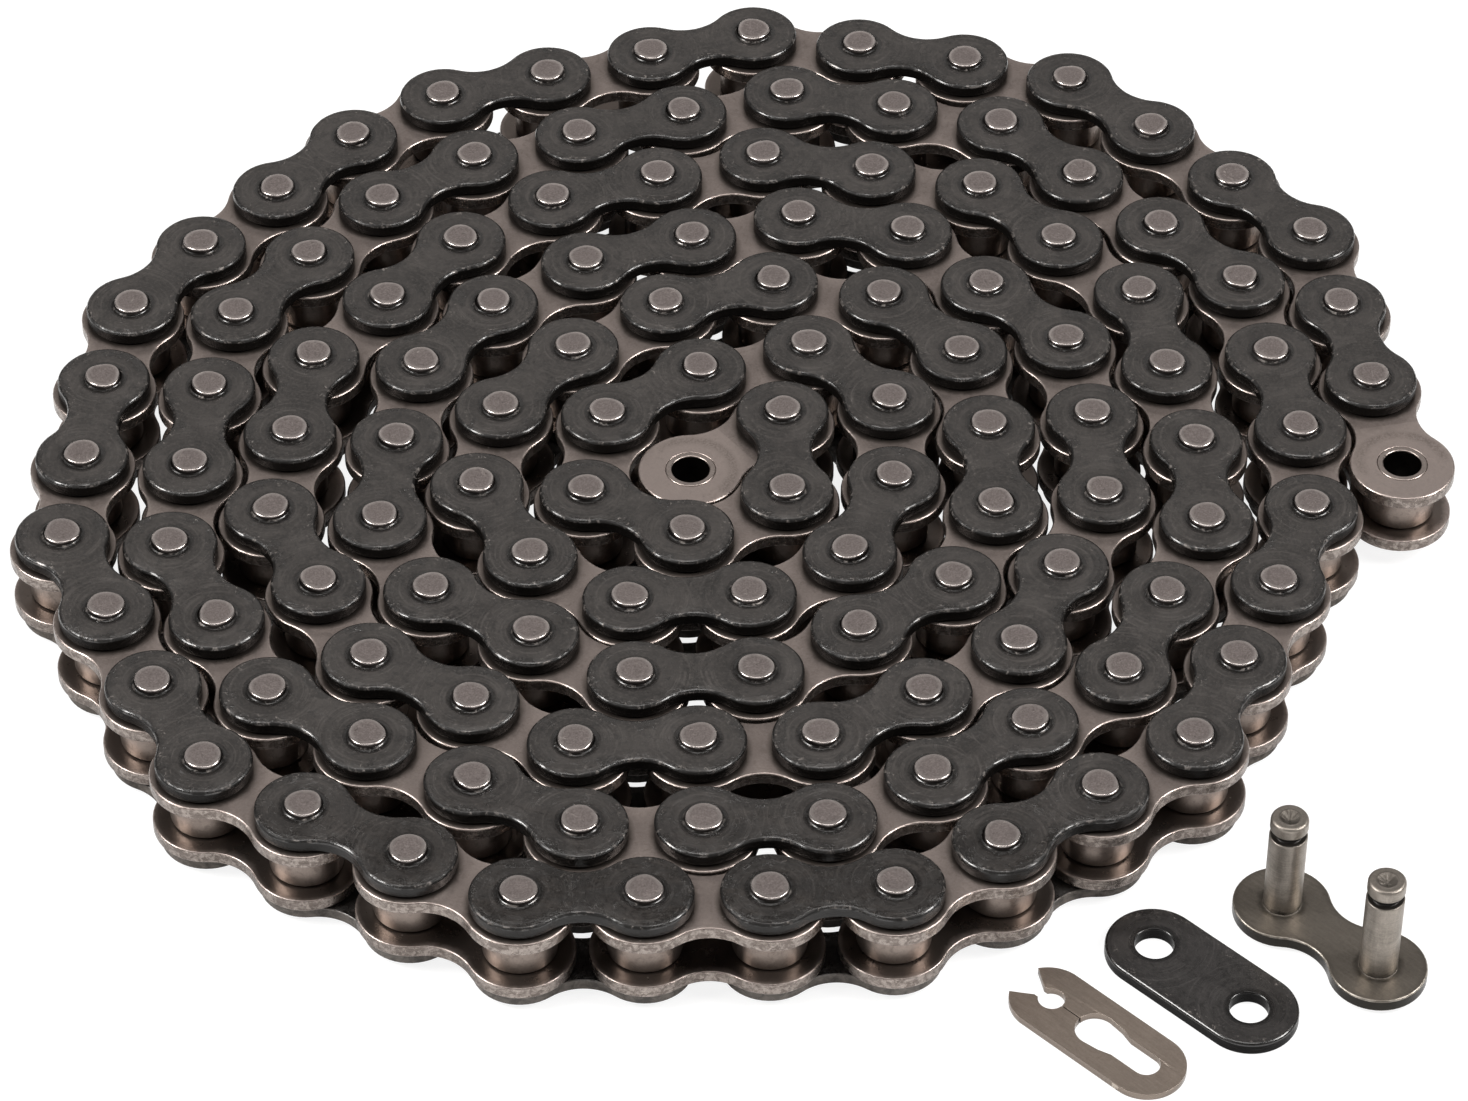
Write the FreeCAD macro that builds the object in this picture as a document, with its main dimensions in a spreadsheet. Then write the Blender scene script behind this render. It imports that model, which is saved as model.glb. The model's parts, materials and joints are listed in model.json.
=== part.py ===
# Half-inch-pitch motorcycle drive chain, lying coiled flat, with its loose connecting link.
#
# A roller chain is a row of inner links (two plates pressed on two bushes, a roller
# turning on each bush) joined by outer links (two plates riveted on two pins, a pin
# turning in each bush).  Here 127 links lie in a flat spiral with their pins upright.
# The twelve links at the free outer end are articulated; the rest of the spiral is
# one resting group.  The connecting link (pin plate with two pins, outer plate and
# spring clip) lies loose beside the coil.
#
# Frame: millimetres, +Z up, z = 0 is the surface the chain lies on (the lower pin
# ends), and the origin is the middle of the footprint.
import FreeCAD, Part
import math
import os

from FreeCAD import Placement, Rotation, Vector
from Sketcher import Constraint

os.makedirs("parts", exist_ok=True)
doc = FreeCAD.newDocument("drive_chain")

# ---------------------------------------------------------------- dimensions
SIZES = [
    ("pitch", 12.7),             # half an inch between pin axes
    ("half_pitch", "=pitch / 2"),
    ("plate_thick", 1.5),
    ("outer_lobe", 5.1),         # end radius of an outer plate
    ("outer_neck", 5.3821),      # radius of the hollow at its waist
    ("inner_lobe", 5.75),        # end radius of an inner plate
    ("inner_neck", 5.3016),      # radius of the hollow at its waist
    ("link_neck", 4.9333),       # hollow of the loose pin plate
    ("plate_edge", 0.25),        # broken edge of every plate
    ("side_gap", 0.25),          # free play between an inner and an outer plate
    ("inner_width", 4.88),       # between the inner plates
    ("pin_radius", 1.985),
    ("pin_edge", 0.2),
    ("pin_proud", 0.6),          # riveted pin end beyond the outer plate
    ("pin_length", "=2 * pin_proud + 4 * plate_thick + 2 * side_gap + inner_width"),
    ("bush_bore", 2.05),
    ("bush_radius", 2.75),
    ("bush_proud", 0.05),        # bush end beyond the inner plate
    ("bush_edge", 0.15),
    ("bush_length", "=2 * plate_thick + inner_width + 2 * bush_proud"),
    ("roller_bore", 2.83),
    ("roller_radius", 3.875),
    ("roller_width", 4.7),
    ("roller_edge", 0.2),
    # the loose grooved pins
    ("rivet_tail", 0.5),         # lower end of a loose pin under its plate
    ("rivet_radius", 1.82),      # its shouldered end, pressed into the pin plate
    ("rivet_edge", 0.2),
    ("plate_face", "=rivet_tail + plate_thick"),
    ("shoulder_rise", 10.05),    # plate top to the groove's lower shoulder
    ("shoulder", "=plate_face + shoulder_rise"),
    ("groove_width", 0.95),
    ("groove_radius", 1.35),
    ("head_height", 1.5),
    ("head_edge", 0.35),
    ("dimple_radius", 1.15),
    ("dimple_depth", 0.55),
    ("link_hole", 2.03),         # holes of the loose outer plate
    # the spring clip
    ("clip_thick", 0.8),
    ("clip_half", 4.15),         # half its width
    ("clip_notch", 1.4),         # radius of the notch at the open end
    ("clip_slot", 1.5),          # half width of the keyhole's narrow end
    ("clip_eye", 2.15),          # radius of the keyhole's wide eye
    ("clip_slit", 0.06),         # half the slit between the two prongs
    ("clip_mouth", 0.75),        # half the mouth between the prongs
    ("clip_edge", 0.12),
]
sheet = doc.addObject("Spreadsheet::Sheet", "Dimensions")
for row, (word, value) in enumerate(SIZES, start=1):
    sheet.set("A%d" % row, word)
    sheet.set("B%d" % row, str(value))
    sheet.setAlias("B%d" % row, word)
doc.recompute()


def size(word):
    return float(sheet.get(word))


PITCH = size("pitch")
HALF_PITCH = size("half_pitch")

# levels of the undersides of the pieces above the table
Z_PINS = 0
Z_OUTER_LOW = size("pin_proud")
Z_INNER_LOW = Z_OUTER_LOW + size("plate_thick") + size("side_gap")
Z_WIDTH_LOW = Z_INNER_LOW + size("plate_thick")
Z_INNER_TOP = Z_WIDTH_LOW + size("inner_width")
Z_OUTER_TOP = Z_INNER_TOP + size("plate_thick") + size("side_gap")
Z_BUSHES = Z_INNER_LOW - size("bush_proud")
Z_ROLLERS = Z_WIDTH_LOW + (size("inner_width") - size("roller_width")) / 2

# ---------------------------------------------------------------- lie of the chain
# Where the chain's free end sits, and the heading of each link in degrees from +X,
# walking from the free outer end to the inner end.  Links are numbered from 0 and
# the even ones are inner links.
START = (72.5694, 2.2094)
HEADINGS = [
    101.93, 100.94, 101.85, 130.74, 134.28, 135.63, 164.09, 167.15, 169.72,
    -162.07, -161.76, -161.01, -142.97, -130.55, -129.24, -123.51, -99.77,
    -96.10, -94.84, -63.59, -62.87, -61.51, -32.59, -30.05, -26.68, 1.16, 1.90,
    3.80, 30.96, 35.29, 36.87, 65.82, 67.14, 70.05, 91.39, 101.16, 102.19,
    132.00, 134.39, 133.58, 165.55, 169.01, -162.90, -161.13, -160.24, -143.54,
    -128.23, -127.00, -99.86, -95.80, -95.37, -63.10, -61.33, -32.15, -29.05,
    -29.02, 1.65, 2.66, 31.08, 35.97, 37.88, 66.19, 67.28, 91.99, 101.67,
    101.39, 133.23, 133.23, 166.27, 168.97, -162.70, -160.83, -143.58, -128.16,
    -127.72, -98.64, -95.95, -63.16, -62.07, -30.58, -29.44, 2.23, 2.75, 31.32,
    36.73, 67.20, 66.63, 93.48, 100.98, 132.92, 132.80, 167.90, -162.70,
    -159.84, -143.93, -126.94, -99.74, -95.65, -62.06, -31.10, -29.62, 2.97,
    31.45, 36.43, 67.41, 91.93, 102.05, 131.92, 169.05, -162.09, -143.18,
    -127.45, -100.06, -61.27, -32.03, 3.59, 31.91, 67.23, 91.34, 133.88,
    -161.53, -143.16, -99.26, -30.38, 31.91, 91.98, -142.24,
]
TAIL_LINKS = 12          # articulated links at the free end
INNER_LINKS = [k for k in range(TAIL_LINKS, len(HEADINGS)) if k % 2 == 0]
OUTER_LINKS = [k for k in range(TAIL_LINKS, len(HEADINGS)) if k % 2 == 1]

# Loose pieces: x and y of the middle between the two pin stations, and turn about Z.
PIN_LINK_AT = (60.771, -60.366, -43.56)
OUTER_PLATE_AT = (47.365, -65.838, -43.78)
CLIP_AT = (36.584, -72.899, -43.90)

# link k runs from pin_axes[k] to pin_axes[k + 1]
pin_axes = [Vector(START[0], START[1], 0)]
for heading in HEADINGS:
    turn = math.radians(heading)
    pin_axes.append(pin_axes[-1] + Vector(math.cos(turn), math.sin(turn), 0) * PITCH)


def flat_place(x, y, z, degrees):
    return Placement(Vector(x, y, z), Rotation(Vector(0, 0, 1), degrees))


def link_place(k, z):
    """Where link k's own frame stands: middle of its two pins, X along the link."""
    middle = (pin_axes[k] + pin_axes[k + 1]) * 0.5
    return flat_place(middle.x, middle.y, z, HEADINGS[k])


def loose_place(at, z):
    x, y, degrees = at
    return flat_place(x, y, z, degrees)


# ---------------------------------------------------------------- PartDesign helpers
def new_body(label):
    body = doc.addObject("PartDesign::Body", label)
    body.Label = label
    body.AllowCompound = True    # a body may hold the two separate pieces of a link
    return body


def new_sketch(body, name, role="XY_Plane"):
    planes = [plane for plane in body.Origin.OriginFeatures if plane.Role == role]
    sketch = body.newObject("Sketcher::SketchObject", name)
    sketch.AttachmentSupport = (planes[0], [""])
    sketch.MapMode = "FlatFace"
    return sketch


def dimension(sketch, name, word, kind, *ends):
    """Add a named dimension to a sketch and tie it to a cell of the sheet."""
    index = sketch.addConstraint(Constraint(kind, *ends, size(word)))
    sketch.renameConstraint(index, name)
    sketch.setExpression("Constraints." + name, "Dimensions." + word)


def hold_station(sketch, index, side):
    """Hold a round's centre on the X axis, half a pitch to the + or - side."""
    sketch.addConstraint(Constraint("PointOnObject", index, 3, -1))
    if side > 0:
        dimension(sketch, "right_station", "half_pitch", "DistanceX", -1, 1, index, 3)
    else:
        dimension(sketch, "left_station", "half_pitch", "DistanceX", index, 3, -1, 1)


def pad(body, sketch, word):
    feature = body.newObject("PartDesign::Pad", "Pad")
    feature.Profile = sketch
    feature.setExpression("Length", "Dimensions." + word)
    sketch.Visibility = False
    return feature


def level_edges(shape, inside):
    """Names of the edges that lie in the top or bottom plane of a padded shape.
    With inside false only the loops round the outside of a face are named."""
    low, high = shape.BoundBox.ZMin, shape.BoundBox.ZMax
    wanted = []
    for face in shape.Faces:
        box = face.BoundBox
        if box.ZMax - box.ZMin > 1e-6:
            continue
        if min(abs(box.ZMin - low), abs(box.ZMin - high)) > 1e-6:
            continue
        for wire in face.Wires if inside else [face.OuterWire]:
            wanted += wire.Edges
    return [
        "Edge%d" % index
        for index, edge in enumerate(shape.Edges, start=1)
        if any(edge.isSame(other) for other in wanted)
    ]


def chamfer(body, base, word, inside):
    doc.recompute()              # the edges are read from the finished base shape
    feature = body.newObject("PartDesign::Chamfer", "Chamfer")
    feature.Base = (base, level_edges(base.Shape, inside))
    feature.setExpression("Size", "Dimensions." + word)
    body.Tip = feature


def circle(x, y, radius):
    return Part.Circle(Vector(x, y, 0), Vector(0, 0, 1), radius)


def arc(x, y, radius, start, end):
    return Part.ArcOfCircle(circle(x, y, radius), start, end)


def arc_through(start, middle, end):
    return Part.Arc(*(Vector(x, y, 0) for x, y in (start, middle, end)))


def line(start, end):
    return Part.LineSegment(*(Vector(x, y, 0) for x, y in (start, end)))


# ---------------------------------------------------------------- plates
def holed_plate(label, perimeter, rules, radii, hole):
    """A plate with a hole at each pin station.  The perimeter is four curves: the
    right lobe, the upper side, the left lobe and the lower side."""
    body = new_body(label)
    sketch = new_sketch(body, "Outline")
    holes = [circle(HALF_PITCH, 0, size(hole)), circle(-HALF_PITCH, 0, size(hole))]
    sketch.addGeometry(perimeter + holes, False)
    rules = rules + [("Coincident", 4, 3, 0, 3), ("Coincident", 5, 3, 2, 3), ("Equal", 4, 5)]
    sketch.addConstraint([Constraint(*rule) for rule in rules])
    hold_station(sketch, 0, 1)
    hold_station(sketch, 2, -1)
    for name, index, word in radii + [("hole", 4, hole)]:
        dimension(sketch, name, word, "Radius", index)
    feature = pad(body, sketch, "plate_thick")
    chamfer(body, feature, "plate_edge", inside=False)
    return body


def waisted_plate(label, lobe, neck, hole):
    """A chain side plate: two round lobes a pitch apart, hollowed between."""
    lobe_radius, neck_radius = size(lobe), size(neck)
    # height of the hollow's centre, which touches both lobes
    rise = math.sqrt((lobe_radius + neck_radius) ** 2 - HALF_PITCH ** 2)
    lobe_end = math.atan2(rise, -HALF_PITCH)
    neck_end = math.atan2(rise, HALF_PITCH)
    perimeter = [
        arc(HALF_PITCH, 0, lobe_radius, -lobe_end, lobe_end),
        arc(0, rise, neck_radius, -math.pi + neck_end, -neck_end),
        arc(-HALF_PITCH, 0, lobe_radius, math.pi - lobe_end, math.pi + lobe_end),
        arc(0, -rise, neck_radius, neck_end, math.pi - neck_end),
    ]
    rules = [
        ("Tangent", 0, 2, 1, 2),
        ("Tangent", 1, 1, 2, 1),
        ("Tangent", 2, 2, 3, 2),
        ("Tangent", 3, 1, 0, 1),
        ("Equal", 0, 2),
        ("Equal", 1, 3),
    ]
    return holed_plate(label, perimeter, rules, [("lobe", 0, lobe), ("neck", 1, neck)], hole)


def straight_plate(label, lobe, hole):
    """The connecting link's outer plate: two round lobes joined by straight sides."""
    radius = size(lobe)
    quarter = math.pi / 2
    perimeter = [
        arc(HALF_PITCH, 0, radius, -quarter, quarter),
        line((HALF_PITCH, radius), (-HALF_PITCH, radius)),
        arc(-HALF_PITCH, 0, radius, quarter, 3 * quarter),
        line((-HALF_PITCH, -radius), (HALF_PITCH, -radius)),
    ]
    rules = [
        ("Tangent", 0, 2, 1, 1),
        ("Tangent", 1, 2, 2, 1),
        ("Tangent", 2, 2, 3, 1),
        ("Tangent", 3, 2, 0, 1),
        ("Horizontal", 1),
    ]
    return holed_plate(label, perimeter, rules, [("lobe", 0, lobe)], hole)


def outer_plate(label):
    return waisted_plate(label, "outer_lobe", "outer_neck", "pin_radius")


def inner_plate(label):
    return waisted_plate(label, "inner_lobe", "inner_neck", "bush_radius")


# ---------------------------------------------------------------- pins, bushes, rollers
def round_pieces(label, kind, length, bore=None, stations=(1, -1)):
    """Round pieces standing at one or both pin stations of a link.  The kind leads
    the names of the radius and edge cells."""
    body = new_body(label)
    sketch = new_sketch(body, "Rounds")
    circles = [("outside", kind + "_radius")]
    if bore:
        circles.append(("bore", bore))
    leads = {}                   # the first circle of each name carries its radius
    for side in stations:
        for name, word in circles:
            index = sketch.addGeometry(circle(side * HALF_PITCH, 0, size(word)), False)
            if name == "outside":
                outside = index
                hold_station(sketch, index, side)
            else:
                sketch.addConstraint(Constraint("Coincident", index, 3, outside, 3))
            if name in leads:
                sketch.addConstraint(Constraint("Equal", leads[name], index))
            else:
                dimension(sketch, name, word, "Radius", index)
                leads[name] = index
    feature = pad(body, sketch, length)
    chamfer(body, feature, kind + "_edge", inside=True)
    return body


def link_pins(label):
    return round_pieces(label, "pin", "pin_length")


def link_bushes(label):
    return round_pieces(label, "bush", "bush_length", bore="bush_bore")


def link_rollers(label, stations=(1, -1)):
    return round_pieces(label, "roller", "roller_width", bore="roller_bore", stations=stations)


# ---------------------------------------------------------------- connecting pins
def connecting_pins(label):
    """Two grooved pins: a turned profile, repeated a pitch along."""
    body = new_body(label)
    sketch = new_sketch(body, "Profile", "XZ_Plane")
    pin, groove, rivet = size("pin_radius"), size("groove_radius"), size("rivet_radius")
    rivet_edge, head_edge = size("rivet_edge"), size("head_edge")
    plate_face, shoulder = size("plate_face"), size("shoulder")
    groove_top = shoulder + size("groove_width")
    top = groove_top + size("head_height")
    # radius and height of each corner; line i runs from corner i to corner i + 1
    corners = [
        (0, 0),
        (rivet - rivet_edge, 0),
        (rivet, rivet_edge),
        (rivet, plate_face),
        (pin, plate_face),
        (pin, shoulder),
        (groove, shoulder),
        (groove, groove_top),
        (pin, groove_top),
        (pin, top - head_edge),
        (pin - head_edge, top),
        (size("dimple_radius"), top),
        (0, top - size("dimple_depth")),
    ]
    count = len(corners)
    for i in range(count):
        sketch.addGeometry(line(corners[i], corners[(i + 1) % count]), False)
    for i in range(count):
        sketch.addConstraint(Constraint("Coincident", i, 2, (i + 1) % count, 1))
    sketch.addConstraint(Constraint("Coincident", 0, 1, -1, 1))
    for i in (0, 3, 5, 7, 10):
        sketch.addConstraint(Constraint("Horizontal", i))
    for i in (2, 4, 6, 8, count - 1):
        sketch.addConstraint(Constraint("Vertical", i))
    # name, cell, direction, then line and end (1 start, 2 finish) of both points
    for entry in (
        ("rivet", "rivet_radius", "DistanceX", -1, 1, 2, 1),
        ("radius", "pin_radius", "DistanceX", -1, 1, 4, 1),
        ("groove", "groove_radius", "DistanceX", -1, 1, 6, 1),
        ("head", "pin_radius", "DistanceX", -1, 1, 8, 1),
        ("dimple", "dimple_radius", "DistanceX", -1, 1, 10, 2),
        ("dimple_deep", "dimple_depth", "DistanceY", 11, 2, 11, 1),
        ("groove_tall", "groove_width", "DistanceY", 6, 1, 6, 2),
        ("head_tall", "head_height", "DistanceY", 8, 1, 10, 1),
        ("rivet_edge_tall", "rivet_edge", "DistanceY", 0, 1, 2, 1),
        ("rivet_edge_wide", "rivet_edge", "DistanceX", 0, 2, 2, 1),
        ("head_edge_tall", "head_edge", "DistanceY", 8, 2, 10, 1),
        ("head_edge_wide", "head_edge", "DistanceX", 10, 1, 8, 2),
        ("plate_face", "plate_face", "DistanceY", -1, 1, 3, 1),
        ("shoulder", "shoulder", "DistanceY", -1, 1, 5, 1),
    ):
        dimension(sketch, *entry)

    turned = body.newObject("PartDesign::Revolution", "Turned")
    turned.Profile = sketch
    turned.ReferenceAxis = (sketch, ["V_Axis"])
    turned.Angle = 360.0
    sketch.Visibility = False
    doc.recompute()
    pair = body.newObject("PartDesign::LinearPattern", "Pair")
    pair.Originals = [turned]
    pair.Direction = (sketch, ["H_Axis"])
    pair.setExpression("Length", "Dimensions.pitch")
    pair.Occurrences = 2
    body.Tip = pair
    return body


# ---------------------------------------------------------------- spring clip
# A flat hairpin, open towards -X.  The notch at the open end snaps into one pin's
# groove, the narrow end of the keyhole into the other's; the wide eye passes over a
# pin head.  Points are x and y on the upper prong.
EYE_X = -0.35                    # centre of the eye
EYE_END = 78.5                   # degrees round the eye where the keyhole narrows
NARROW_X = 3.06                  # start of the keyhole's narrow end
SHOULDER_X = -6.95               # end of the straight outer side
PRONG_BULGE = (-8.78, 3.56)      # on the curve from the outer side to the tip
PRONG_TIP = (-10.15, 2.2)
MOUTH_X = -8.0                   # where the flared mouth turns parallel


def clip_prong(side):
    """One prong's curves, from the outer bend round the tip to the inner bend."""
    half_width, slot = size("clip_half"), size("clip_slot")
    notch, eye = size("clip_notch"), size("clip_eye")
    slit, mouth = size("clip_slit"), size("clip_mouth")

    def at(x, y):
        return (x, side * y)

    def on_round(centre_x, radius, degrees):
        turn = math.radians(degrees)
        return at(centre_x + radius * math.cos(turn), radius * math.sin(turn))

    shoulder = at(SHOULDER_X, half_width)
    tip = at(*PRONG_TIP)
    mouth_outer = at(MOUTH_X, mouth)
    mouth_inner = at(-HALF_PITCH - math.sqrt(notch ** 2 - mouth ** 2), mouth)
    notch_end = at(-HALF_PITCH + math.sqrt(notch ** 2 - slit ** 2), slit)
    eye_start = at(EYE_X - math.sqrt(eye ** 2 - slit ** 2), slit)
    eye_end = on_round(EYE_X, eye, EYE_END)
    narrow = at(NARROW_X, slot)
    return [
        line(at(HALF_PITCH, half_width), shoulder),
        arc_through(shoulder, at(*PRONG_BULGE), tip),
        line(tip, mouth_outer),
        line(mouth_outer, mouth_inner),
        arc_through(mouth_inner, on_round(-HALF_PITCH, notch, 90), notch_end),
        line(notch_end, eye_start),
        arc_through(eye_start, on_round(EYE_X, eye, 135), eye_end),
        line(eye_end, narrow),
        line(narrow, at(HALF_PITCH, slot)),
    ]


def spring_clip(label):
    body = new_body(label)
    sketch = new_sketch(body, "Outline")
    bends = [
        arc_through((HALF_PITCH, radius), (HALF_PITCH + radius, 0), (HALF_PITCH, -radius))
        for radius in (size("clip_half"), size("clip_slot"))
    ]
    sketch.addGeometry(clip_prong(1) + clip_prong(-1) + bends, False)
    feature = pad(body, sketch, "clip_thick")
    chamfer(body, feature, "clip_edge", inside=False)
    return body


# ---------------------------------------------------------------- articulated tail
nodes = []


def node(obj, placement):
    """Place a finished piece and list it for export."""
    obj.Placement = placement
    nodes.append(obj)


for k in range(TAIL_LINKS):
    name = "tail%02d" % (k + 1)
    if k % 2 == 0:
        node(inner_plate(name + "_inner_plate_top"), link_place(k, Z_INNER_TOP))
        node(inner_plate(name + "_inner_plate_bottom"), link_place(k, Z_INNER_LOW))
        node(link_bushes(name + "_bushes"), link_place(k, Z_BUSHES))
        node(link_rollers(name + "_roller_a", stations=(-1,)), link_place(k, Z_ROLLERS))
        node(link_rollers(name + "_roller_b", stations=(1,)), link_place(k, Z_ROLLERS))
    else:
        node(outer_plate(name + "_outer_plate_top"), link_place(k, Z_OUTER_TOP))
        node(outer_plate(name + "_outer_plate_bottom"), link_place(k, Z_OUTER_LOW))
        node(link_pins(name + "_pins"), link_place(k, Z_PINS))

# ---------------------------------------------------------------- resting coil
# Each kind of piece is drawn once as its own body; the coil's groups repeat it along
# the spiral, one separate solid per piece.
outer_pattern = outer_plate("pattern_outer_plate")
inner_pattern = inner_plate("pattern_inner_plate")
pins_pattern = link_pins("pattern_pins")
bushes_pattern = link_bushes("pattern_bushes")
rollers_pattern = link_rollers("pattern_rollers")
doc.recompute()


def along_coil(label, pattern, links, z):
    solids = []
    for k in links:
        for solid in pattern.Shape.Solids:
            copy = solid.copy()
            copy.Placement = link_place(k, 0).multiply(copy.Placement)
            solids.append(copy)
    group = doc.addObject("Part::Feature", label)
    group.Label = label
    group.Shape = Part.makeCompound(solids)
    node(group, Placement(Vector(0, 0, z), Rotation()))


along_coil("coil_outer_plates_top", outer_pattern, OUTER_LINKS, Z_OUTER_TOP)
along_coil("coil_outer_plates_bottom", outer_pattern, OUTER_LINKS, Z_OUTER_LOW)
along_coil("coil_inner_plates_top", inner_pattern, INNER_LINKS, Z_INNER_TOP)
along_coil("coil_inner_plates_bottom", inner_pattern, INNER_LINKS, Z_INNER_LOW)
along_coil("coil_pins", pins_pattern, OUTER_LINKS, Z_PINS)
along_coil("coil_bushes", bushes_pattern, INNER_LINKS, Z_BUSHES)
along_coil("coil_rollers", rollers_pattern, INNER_LINKS, Z_ROLLERS)

# ---------------------------------------------------------------- connecting link
node(waisted_plate("connecting_pin_plate", "outer_lobe", "link_neck", "rivet_radius"),
     loose_place(PIN_LINK_AT, size("rivet_tail")))
# the pins' own frame stands on the first pin, half a pitch from the link's middle
to_first_pin = Placement(Vector(-HALF_PITCH, 0, 0), Rotation())
node(connecting_pins("connecting_pins"), loose_place(PIN_LINK_AT, 0).multiply(to_first_pin))
node(straight_plate("connecting_outer_plate", "outer_lobe", "link_hole"),
     loose_place(OUTER_PLATE_AT, 0))
node(spring_clip("spring_clip"), loose_place(CLIP_AT, 0))

# ---------------------------------------------------------------- check and write
doc.recompute()
problems = []
for obj in doc.Objects:
    state = [word for word in obj.State if word in ("Invalid", "Error")]
    if state:
        problems.append("%s: %s" % (obj.Label, ", ".join(state)))
for obj in nodes:
    shape = obj.Shape
    if shape.isNull() or not shape.isValid() or not shape.Solids:
        problems.append("%s: bad shape" % obj.Label)
    elif any(not solid.isValid() or solid.Volume <= 0 for solid in shape.Solids):
        problems.append("%s: bad solid" % obj.Label)
if len({obj.Label for obj in nodes}) != len(nodes):
    problems.append("labels repeat")
if problems:
    raise RuntimeError("; ".join(problems))

for obj in nodes:
    obj.Shape.exportStep(os.path.join("parts", obj.Label + ".step"))
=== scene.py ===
"""A coiled half-inch motorcycle drive chain and its loose connecting link.

The chain lies flat on a floor at z = 0 with its pins upright along Z, and is seen from -Y.
Every link stands where the CAD has it: its stations are found on the CAD nodes, and each
piece is drawn again with rounded edges, riveted heads and oily steel.
Lengths in the helpers are millimetres; meshes are written in metres.
"""
import json
import math
from dataclasses import dataclass
from functools import cached_property

import bmesh
import bpy
import numpy as np
from mathutils import Matrix, Vector
from mathutils.geometry import tessellate_polygon


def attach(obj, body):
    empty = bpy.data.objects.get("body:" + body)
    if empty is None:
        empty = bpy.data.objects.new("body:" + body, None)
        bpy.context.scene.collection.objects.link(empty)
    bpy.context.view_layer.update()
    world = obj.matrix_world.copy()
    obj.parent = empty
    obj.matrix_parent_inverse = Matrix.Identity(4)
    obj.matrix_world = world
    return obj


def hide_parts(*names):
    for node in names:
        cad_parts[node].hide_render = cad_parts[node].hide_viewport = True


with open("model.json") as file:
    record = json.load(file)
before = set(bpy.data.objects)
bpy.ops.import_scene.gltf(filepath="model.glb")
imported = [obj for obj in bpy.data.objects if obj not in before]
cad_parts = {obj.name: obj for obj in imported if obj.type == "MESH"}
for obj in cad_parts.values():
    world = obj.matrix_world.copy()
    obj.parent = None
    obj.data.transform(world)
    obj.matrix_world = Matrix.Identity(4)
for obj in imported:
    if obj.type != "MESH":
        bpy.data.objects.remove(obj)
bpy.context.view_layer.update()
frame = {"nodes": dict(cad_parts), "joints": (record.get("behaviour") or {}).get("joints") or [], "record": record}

MM = 0.001
NODES = frame["nodes"]
RECORD = frame["record"]
BODY = {node: body for body, nodes in RECORD["behaviour"]["bodies"].items() for node in nodes}
MOUNT = {mount["name"]: mount for mount in RECORD["mounts"]}

# Chain sizes, mm
PITCH = 12.7
HALF = PITCH / 2
PLATE = 1.5                                # plate thickness
PIN_R = 1.985
BUSH_R, BUSH_BORE = 2.75, 2.05
ROLLER_R, ROLLER_BORE = 3.875, 2.83
# undersides of the four plates, from the floor up
Z_OUT_LOW, Z_IN_LOW, Z_IN_TOP, Z_OUT_TOP = 0.60, 2.35, 8.73, 10.48
PIN_TOP = 12.58
BUSH_Z = (2.30, 10.28)
ROLLER_Z = (3.94, 8.64)
# waisted plates: (radius of the round ends, radius of the hollow sides)
OUTER_SHAPE, INNER_SHAPE, LINK_SHAPE = (5.1, 5.3821), (5.75, 5.3016), (5.1, 4.9333)
STADIUM_R = 5.1                            # loose plate with straight sides
OUTER_WAIST, INNER_WAIST = 2.958, 3.744    # half widths at the narrowest, as the CAD has them

# Connecting link, mm
RIVET_R = 1.82                             # foot of a link pin, where it goes through its plate
LINK_PLATE_Z = 0.5
LINK_SHOULDER_Z = LINK_PLATE_Z + PLATE
GROOVE_R, GROOVE_Z = 1.35, (12.05, 13.0)
LINK_PIN_TOP = 14.5
CLIP_THICK = 0.8
CLIP_HALF_WIDTH = 4.15


# ------------------------------------------------------------------ reading the frame
def cad_plan(node):
    """X and Y of a CAD node's points."""
    mesh = NODES[node].data
    points = np.zeros(len(mesh.vertices) * 3, np.float64)
    mesh.vertices.foreach_get("co", points)
    return (points.reshape(-1, 3) * 1000.0)[:, :2]


def circle_centre(points):
    terms = np.c_[2 * points, np.ones(len(points))]
    return np.linalg.lstsq(terms, (points ** 2).sum(1), rcond=None)[0][:2]


def round_stations(node, radius):
    """Axes of the separate round pieces in a node, each of that outside radius."""
    plan = cad_plan(node)
    left = np.ones(len(plan), bool)
    found = []
    while left.any():
        seed = plan[np.argmax(left)]
        near = left & (np.hypot(*(plan - seed).T) < 2 * radius + 0.15)
        points = plan[near]
        centre = (points.min(0) + points.max(0)) / 2
        rim = np.abs(np.hypot(*(points - centre).T) - radius) < 0.04
        if rim.sum() >= 6:
            centre = circle_centre(points[rim])
        found.append(centre)
        left &= ~near
    return np.array(found)


def placed(start, end):
    """(middle, heading) of a link between two stations."""
    way = end - start
    return (start + end) / 2, math.atan2(way[1], way[0])


def paired(stations, plate_node, waist):
    """Links between stations a pitch apart that one plate of the node really joins."""
    plan = cad_plan(plate_node)
    links = []
    for i in range(len(stations)):
        for j in range(i + 1, len(stations)):
            way = stations[j] - stations[i]
            if abs(np.hypot(*way) - PITCH) > 0.05:
                continue
            unit = way / np.hypot(*way)
            offset = plan - (stations[i] + stations[j]) / 2
            along, across = np.abs(offset @ unit), offset @ np.array([-unit[1], unit[0]])
            sides = [np.abs(across[along < 0.95] - sign * waist) for sign in (1, -1)]
            if all(len(side) and side.min() < 0.03 for side in sides):
                links.append((max(side.min() for side in sides), i, j))
    # a plate of the next turn can stand where a waist would be: the closest fit wins
    used, kept = set(), []
    for _, i, j in sorted(links):
        if i not in used and j not in used:
            used |= {i, j}
            kept.append((i, j))
    return [placed(stations[i], stations[j]) for i, j in sorted(kept)]


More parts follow.
